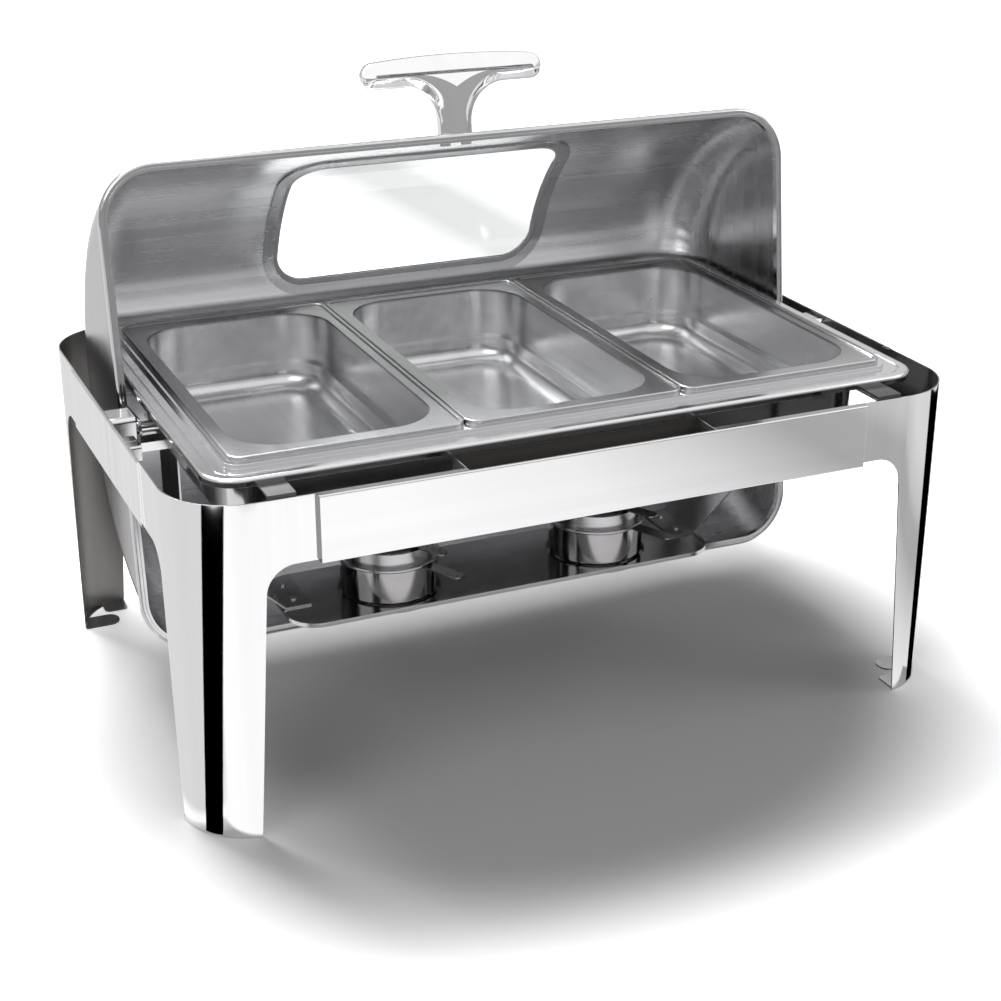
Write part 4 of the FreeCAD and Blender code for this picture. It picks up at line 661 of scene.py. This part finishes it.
def finish_food_pans():
    """Drawn steel, with painted shade on the flanges that deepens from the front to the back."""
    settings = bpy.context.scene.chafer_steel
    drawn = steel("food_pan_steel", settings.pan, settings.pan_roughness, ACROSS_Y,
                  tone=0.03, grain=0.05, waves=0.03, marks=0.03)
    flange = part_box("food_pan_left")[1].z - FLANGE_DEPTH
    # Painted shade on the flanges, deeper towards the back.
    shade_above(drawn, flange, FLANGE_FRONT, FLANGE_BACK)
    paint(drawn, *[f"food_pan_{place}" for place in ("left", "centre", "right")])


# ---------------------------------------------------------------- burners
def finish_burners():
    settings = bpy.context.scene.chafer_steel
    cup = steel("burner_cup_steel", settings.cup, 0.09, ACROSS_X, tone=0.08, grain=0.05)
    ring = steel("burner_ring_steel", settings.satin, 0.24, ACROSS_X, tone=0.12, grain=0.08)
    lever = steel("burner_lever_steel", settings.inside, 0.14, ACROSS_Y, tone=0.10, grain=0.04)
    for side in SIDES:
        paint(cup, f"burner_cup_{side}")
        paint(ring, f"burner_ring_{side}")
        paint(lever, f"burner_handle_{side}", f"burner_cover_{side}")
        paint(cup, f"burner_rivet_{side}")


# ---------------------------------------------------------------- studio
def seen_in(tree, *kinds):
    """1 for the given kinds of ray, such as Camera."""
    path = tree.nodes.new("ShaderNodeLightPath")
    total = path.outputs[f"Is {kinds[0]} Ray"]
    for kind in kinds[1:]:
        total = maths(tree, "ADD", total, path.outputs[f"Is {kind} Ray"], clamp=True)
    return total


def ramp_of(tree, share, stops):
    """A grey that runs through the stops, each a share and a level."""
    ramp = add_node(tree, "ShaderNodeValToRGB", {"Fac": share})
    elements = ramp.color_ramp.elements
    elements[0].position = stops[0][0]
    elements[1].position = stops[-1][0]
    for place, grey in stops[1:-1]:
        elements.new(place)
    for stop, (place, grey) in zip(elements, stops):
        stop.color = (grey, grey, grey, 1.0)
    return ramp.outputs["Color"]


FLOOR_REACH = 14
FLOOR_DROP = 0.0002
FLOOR_GRAIN = 0.995

# Painted reflection: the glow that polished steel mirrors of the floor beyond the legs, which only
# glossy rays see, from the left to the right of MIRRORED_X: each stop is a share of the way and a level.
MIRRORED_X = (-0.6, 0.8)
PAINTED_REFLECTION_X = (
    (0.0, 1.15), (0.45, 1.12), (0.60, 1.0), (0.70, 0.78), (0.80, 0.45), (0.86, 0.46),
    (0.90, 0.62), (1.0, 0.76),
)
# The painted reflection is darker far in front, and to the left of the stand behind a slanted line.
FAR_FLOOR_Y = (-0.80, -0.90)
PAINTED_REFLECTION_FAR = (0.36, 0.36, 0.36, 1.0)
SIDE_X = (-0.325, -0.335)
SIDE_SLANT = 0.85
SIDE_LINE = (0.045, 0.065)
PAINTED_REFLECTION_SIDE = (0.79, 0.79, 0.79, 1.0)
FOOTPRINT_EDGE = 0.004

# Beyond this oval the floor glows white; within it the floor shows the object's shadow.
SHADOW_MIDDLE = (-0.02, -0.075, 0.0)
SHADOW_REACH = (0.395, 0.36, 1.0)
SHADOW_EDGE = (0.70, 1.25)

# The room that steel reflects, from the horizon up: each stop is a height and a level.
ROOM = ((0.0, 0.36), (0.10, 0.38), (0.20, 0.30), (0.32, 0.80), (0.42, 0.40), (0.54, 1.0), (1.0, 1.0))


def painted_reflection_level(tree, place):
    """The level of the painted reflection that polished steel mirrors of the floor."""
    tint = ramp_of(tree, remap(tree, place["X"], *MIRRORED_X, 0.0, 1.0), PAINTED_REFLECTION_X)
    tint = mix_colours(tree, remap(tree, place["Y"], *FAR_FLOOR_Y, 0.0, 1.0), tint, PAINTED_REFLECTION_FAR)
    slanted = maths(tree, "SUBTRACT", place["Y"], maths(tree, "MULTIPLY", place["X"], SIDE_SLANT))
    beside = maths(tree, "MULTIPLY", remap(tree, place["X"], *SIDE_X, 0.0, 1.0),
                   remap(tree, slanted, *SIDE_LINE, 0.0, 1.0))
    return mix_colours(tree, beside, tint, PAINTED_REFLECTION_SIDE)


def beyond_the_legs(tree, place):
    """1 outside the rectangle that the legs stand on."""
    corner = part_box("leg_front_left")[0]
    beyond = []
    for axis, edge in (("X", -corner.x), ("Y", -corner.y)):
        away = maths(tree, "ABSOLUTE", place[axis])
        beyond.append(remap(tree, away, edge, edge + FOOTPRINT_EDGE, 0.0, 1.0))
    return maths(tree, "MAXIMUM", *beyond)


def build_floor():
    """A pale floor that keeps the object's shadow and fades to white round it; beyond the legs,
    glossy rays see it black and glowing instead, a painted reflection.
    """
    settings = bpy.context.scene.chafer_studio
    reach = FLOOR_REACH * (CAD_HIGH.x - CAD_LOW.x) / 2
    mesh = bpy.data.meshes.new("studio_floor")
    corners = [(-reach, -reach), (reach, -reach), (reach, reach), (-reach, reach)]
    level = CAD_LOW.z - FLOOR_DROP
    mesh.from_pydata([(x, y, level) for x, y in corners], [], [(0, 1, 2, 3)])
    floor = bpy.data.objects.new("studio_floor", mesh)
    bpy.context.scene.collection.objects.link(floor)
    material, tree, shader = new_material("studio_floor")
    shader.inputs["Roughness"].default_value = 0.9
    shader.inputs["Specular IOR Level"].default_value = 0.0
    grain = add_node(tree, "ShaderNodeTexNoise", {"Scale": 300.0, "Detail": 2.0}).outputs["Fac"]
    base = mix_colours(tree, grain, opaque(settings.floor), opaque(settings.floor, FLOOR_GRAIN))

    place = tree.nodes.new("ShaderNodeTexCoord").outputs["Object"]
    parts = place_parts(tree)
    # Painted reflection: beyond the legs, glossy rays see the floor black and glowing at the painted
    # levels.
    mirrored = maths(tree, "MULTIPLY", beyond_the_legs(tree, parts), seen_in(tree, "Glossy"))
    tree.links.new(mix_colours(tree, mirrored, base, BLACK), shader.inputs["Base Color"])

    from_middle = vector_maths(tree, "SUBTRACT", place, SHADOW_MIDDLE)
    spread = vector_maths(tree, "DIVIDE", from_middle, SHADOW_REACH)
    far = add_node(tree, "ShaderNodeVectorMath", {0: spread}, operation="LENGTH").outputs["Value"]
    glow = add_node(tree, "ShaderNodeMapRange", {
        "Value": far, "From Min": SHADOW_EDGE[0], "From Max": SHADOW_EDGE[1],
        "To Min": 0.0, "To Max": 1.0}, interpolation_type="SMOOTHSTEP").outputs["Result"]
    glow = maths(tree, "MULTIPLY", glow, seen_in(tree, "Camera"))
    glow = maths(tree, "ADD", glow, seen_in(tree, "Transmission"))
    tree.links.new(maths(tree, "ADD", glow, mirrored), shader.inputs["Emission Strength"])
    shown = mix_colours(tree, mirrored, WHITE, painted_reflection_level(tree, parts))
    tree.links.new(shown, shader.inputs["Emission Color"])
    mesh.materials.append(material)


CARD_LIFT = 0.0004
CARD_STEPS = 12
STRIP_START = 0.001
STRIP_SHARE = 1.02

# For each side, the two headings of the strip's edges, each at the foot and at the top.
LEG_STRIPS = {-1: ((55.2, 39.4), (40.0, 22.8)), 1: ((30.0, 25.0), (45.0, 44.0))}


def dark_card(name, points):
    """A flat card just above the floor that only reflections show, a painted reflection."""
    mesh = bpy.data.meshes.new(name)
    level = CAD_LOW.z + CARD_LIFT
    mesh.from_pydata([(x, y, level) for x, y in points], [], [tuple(range(len(points)))])
    card = bpy.data.objects.new(name, mesh)
    bpy.context.scene.collection.objects.link(card)
    material = bpy.data.materials.new(name)
    material.use_nodes = True
    tree = material.node_tree
    tree.nodes.remove(tree.nodes["Principled BSDF"])
    emission = add_node(tree, "ShaderNodeEmission", {
        "Color": opaque(bpy.context.scene.chafer_studio.card), "Strength": 1.0})
    tree.links.new(emission.outputs[0], tree.nodes["Material Output"].inputs["Surface"])
    mesh.materials.append(material)
    card.visible_camera = False
    card.visible_diffuse = False
    card.visible_shadow = False
    card.visible_transmission = False


def mirrored_on_floor(point, normal, eye):
    """Where the floor is that an eye sees mirrored at a point."""
    look = (point - eye).normalized()
    look -= 2 * look.dot(normal) * normal
    return point - look * (point.z - CAD_LOW.z) / look.z


def build_cards():
    """One dark card beside each front leg, a painted reflection in the leg's round corner. It is the
    stretch of floor that the camera sees mirrored in the leg's round corner between two headings,
    in degrees from the front, which change from the foot to the top."""
    eye = Vector(bpy.context.scene.chafer_studio.camera_place)
    for name, side in (("dark_card_left", -1), ("dark_card_right", 1)):
        low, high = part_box("leg_front_left" if side < 0 else "leg_front_right")
        face_x = low.x if side < 0 else high.x
        middle = Vector((face_x - side * LEG_CORNER, low.y + LEG_CORNER, 0.0))
        steps = [step / CARD_STEPS for step in range(CARD_STEPS + 1)]
        points = []
        for (foot, top), order in zip(LEG_STRIPS[side], (steps, steps[::-1])):
            for share in order:
                heading = math.radians(foot + (top - foot) * share)
                normal = Vector((side * math.sin(heading), -math.cos(heading), 0.0))
                height = low.z + STRIP_START + (high.z - low.z) * share * STRIP_SHARE
                surface = middle + LEG_CORNER * normal + Vector((0, 0, height))
                spot = mirrored_on_floor(surface, normal, eye)
                points.append((spot.x, spot.y))
        dark_card(name, points)


def build_lights():
    """Three large soft lamps: above to the left, above to the right and high behind."""
    middle = Vector((0.0, 0.0, CAD_HIGH.z * 0.5))
    lamps = (
        ("lamp_left", (-1.7, -1.2, 1.9), 1.6, 9.0),
        ("lamp_right", (1.9, -0.9, 1.7), 1.2, 5.0),
        ("lamp_back", (-0.35, 1.5, 2.2), 1.5, 82.0),
    )
    for name, place, width, power in lamps:
        lamp = bpy.data.lights.new(name, "AREA")
        lamp.shape = "RECTANGLE"
        lamp.size = width
        lamp.size_y = width * 0.7
        lamp.energy = power
        item = bpy.data.objects.new(name, lamp)
        bpy.context.scene.collection.objects.link(item)
        item.location = place
        item.rotation_euler = (middle - Vector(place)).to_track_quat("-Z", "Y").to_euler()


def build_world():
    """White behind everything, a plain ambient light, and a soft room for the steel to reflect."""
    settings = bpy.context.scene.chafer_studio
    world = bpy.data.worlds.new("studio")
    bpy.context.scene.world = world
    world.use_nodes = True
    tree = world.node_tree
    background = tree.nodes["Background"]
    heading = tree.nodes.new("ShaderNodeTexCoord").outputs["Generated"]
    height = add_node(tree, "ShaderNodeSeparateXYZ", {0: heading}).outputs["Z"]
    room = ramp_of(tree, height, ROOM)
    plain = mix_colours(tree, seen_in(tree, "Glossy"), (*[settings.ambient] * 3, 1.0), room)
    shown = mix_colours(tree, seen_in(tree, "Camera", "Transmission"), plain, WHITE)
    tree.links.new(shown, background.inputs["Color"])
    background.inputs["Strength"].default_value = 1.0


def build_camera():
    settings = bpy.context.scene.chafer_studio
    camera = bpy.data.cameras.new("camera")
    camera.lens = settings.lens
    camera.sensor_width = 36.0
    item = bpy.data.objects.new("camera", camera)
    bpy.context.scene.collection.objects.link(item)
    item.location = settings.camera_place
    item.rotation_euler = (math.pi / 2 - settings.camera_down, 0.0, -settings.camera_turn)
    bpy.context.scene.camera = item


def build_studio():
    build_floor()
    build_cards()
    build_lights()
    build_world()
    build_camera()
    bpy.context.scene.view_settings.view_transform = "Standard"


# ---------------------------------------------------------------- operators
class CHAFER_OT_stand(bpy.types.Operator):
    """Polish the legs and rails, and finish the trough and brackets between them"""
    bl_idname = "chafer.stand"
    bl_label = "Finish stand"

    def execute(self, context):
        finish_stand()
        return {"FINISHED"}


class CHAFER_OT_pivot(bpy.types.Operator):
    """Finish the hinge blocks, pins, washers, nuts and supports"""
    bl_idname = "chafer.pivot"
    bl_label = "Finish pivot"

    def execute(self, context):
        finish_pivot()
        return {"FINISHED"}


class CHAFER_OT_shelf(bpy.types.Operator):
    """Finish the fuel shelf"""
    bl_idname = "chafer.shelf"
    bl_label = "Finish fuel shelf"

    def execute(self, context):
        finish_shelf()
        return {"FINISHED"}


class CHAFER_OT_cover(bpy.types.Operator):
    """Finish the roll top cover, its rim and its hinge plates"""
    bl_idname = "chafer.cover"
    bl_label = "Finish cover"

    def execute(self, context):
        finish_cover()
        return {"FINISHED"}


class CHAFER_OT_window(bpy.types.Operator):
    """Finish the window's seal, pane and inner band"""
    bl_idname = "chafer.window"
    bl_label = "Finish window"

    def execute(self, context):
        finish_window()
        return {"FINISHED"}


class CHAFER_OT_handle(bpy.types.Operator):
    """Build the cast handle in place of the plain one"""
    bl_idname = "chafer.handle"
    bl_label = "Build handle"

    def execute(self, context):
        build_handle()
        return {"FINISHED"}


class CHAFER_OT_water_pan(bpy.types.Operator):
    """Finish the water pan"""
    bl_idname = "chafer.water_pan"
    bl_label = "Finish water pan"

    def execute(self, context):
        finish_water_pan()
        return {"FINISHED"}


class CHAFER_OT_food_pans(bpy.types.Operator):
    """Finish the three food pans"""
    bl_idname = "chafer.food_pans"
    bl_label = "Finish food pans"

    def execute(self, context):
        finish_food_pans()
        return {"FINISHED"}


class CHAFER_OT_burners(bpy.types.Operator):
    """Finish the two burners"""
    bl_idname = "chafer.burners"
    bl_label = "Finish burners"

    def execute(self, context):
        finish_burners()
        return {"FINISHED"}


class CHAFER_OT_studio(bpy.types.Operator):
    """Set up the floor, cards, lamps, world and camera"""
    bl_idname = "chafer.studio"
    bl_label = "Set up studio"

    def execute(self, context):
        build_studio()
        return {"FINISHED"}


OPERATORS = (
    CHAFER_OT_stand, CHAFER_OT_pivot, CHAFER_OT_shelf, CHAFER_OT_cover, CHAFER_OT_window,
    CHAFER_OT_handle, CHAFER_OT_water_pan, CHAFER_OT_food_pans, CHAFER_OT_burners, CHAFER_OT_studio,
)


class CHAFER_PT_panel(bpy.types.Panel):
    """Sizes, colours and steps of the roll top chafer"""
    bl_idname = "CHAFER_PT_panel"
    bl_label = "Roll top chafer"
    bl_space_type = "VIEW_3D"
    bl_region_type = "UI"
    bl_category = "Chafer"

    def draw(self, context):
        for operator in OPERATORS:
            self.layout.operator(operator.bl_idname)
        for group, name in SETTINGS:
            box = self.layout.box()
            for field in group.__annotations__:
                box.prop(getattr(context.scene, name), field)


SETTINGS = (
    (ChaferSteel, "chafer_steel"), (ChaferWindow, "chafer_window"),
    (ChaferHandle, "chafer_handle"), (ChaferStudio, "chafer_studio"),
)


def register():
    for group, name in SETTINGS:
        bpy.utils.register_class(group)
        setattr(bpy.types.Scene, name, PointerProperty(type=group))
    for operator in OPERATORS:
        bpy.utils.register_class(operator)
    bpy.utils.register_class(CHAFER_PT_panel)


def unregister():
    bpy.utils.unregister_class(CHAFER_PT_panel)
    for operator in reversed(OPERATORS):
        bpy.utils.unregister_class(operator)
    for group, name in reversed(SETTINGS):
        delattr(bpy.types.Scene, name)
        bpy.utils.unregister_class(group)


def main():
    register()
    for operator in OPERATORS:
        step = operator.bl_idname.split(".")[1]
        getattr(bpy.ops.chafer, step)()


if __name__ == "__main__":
    main()
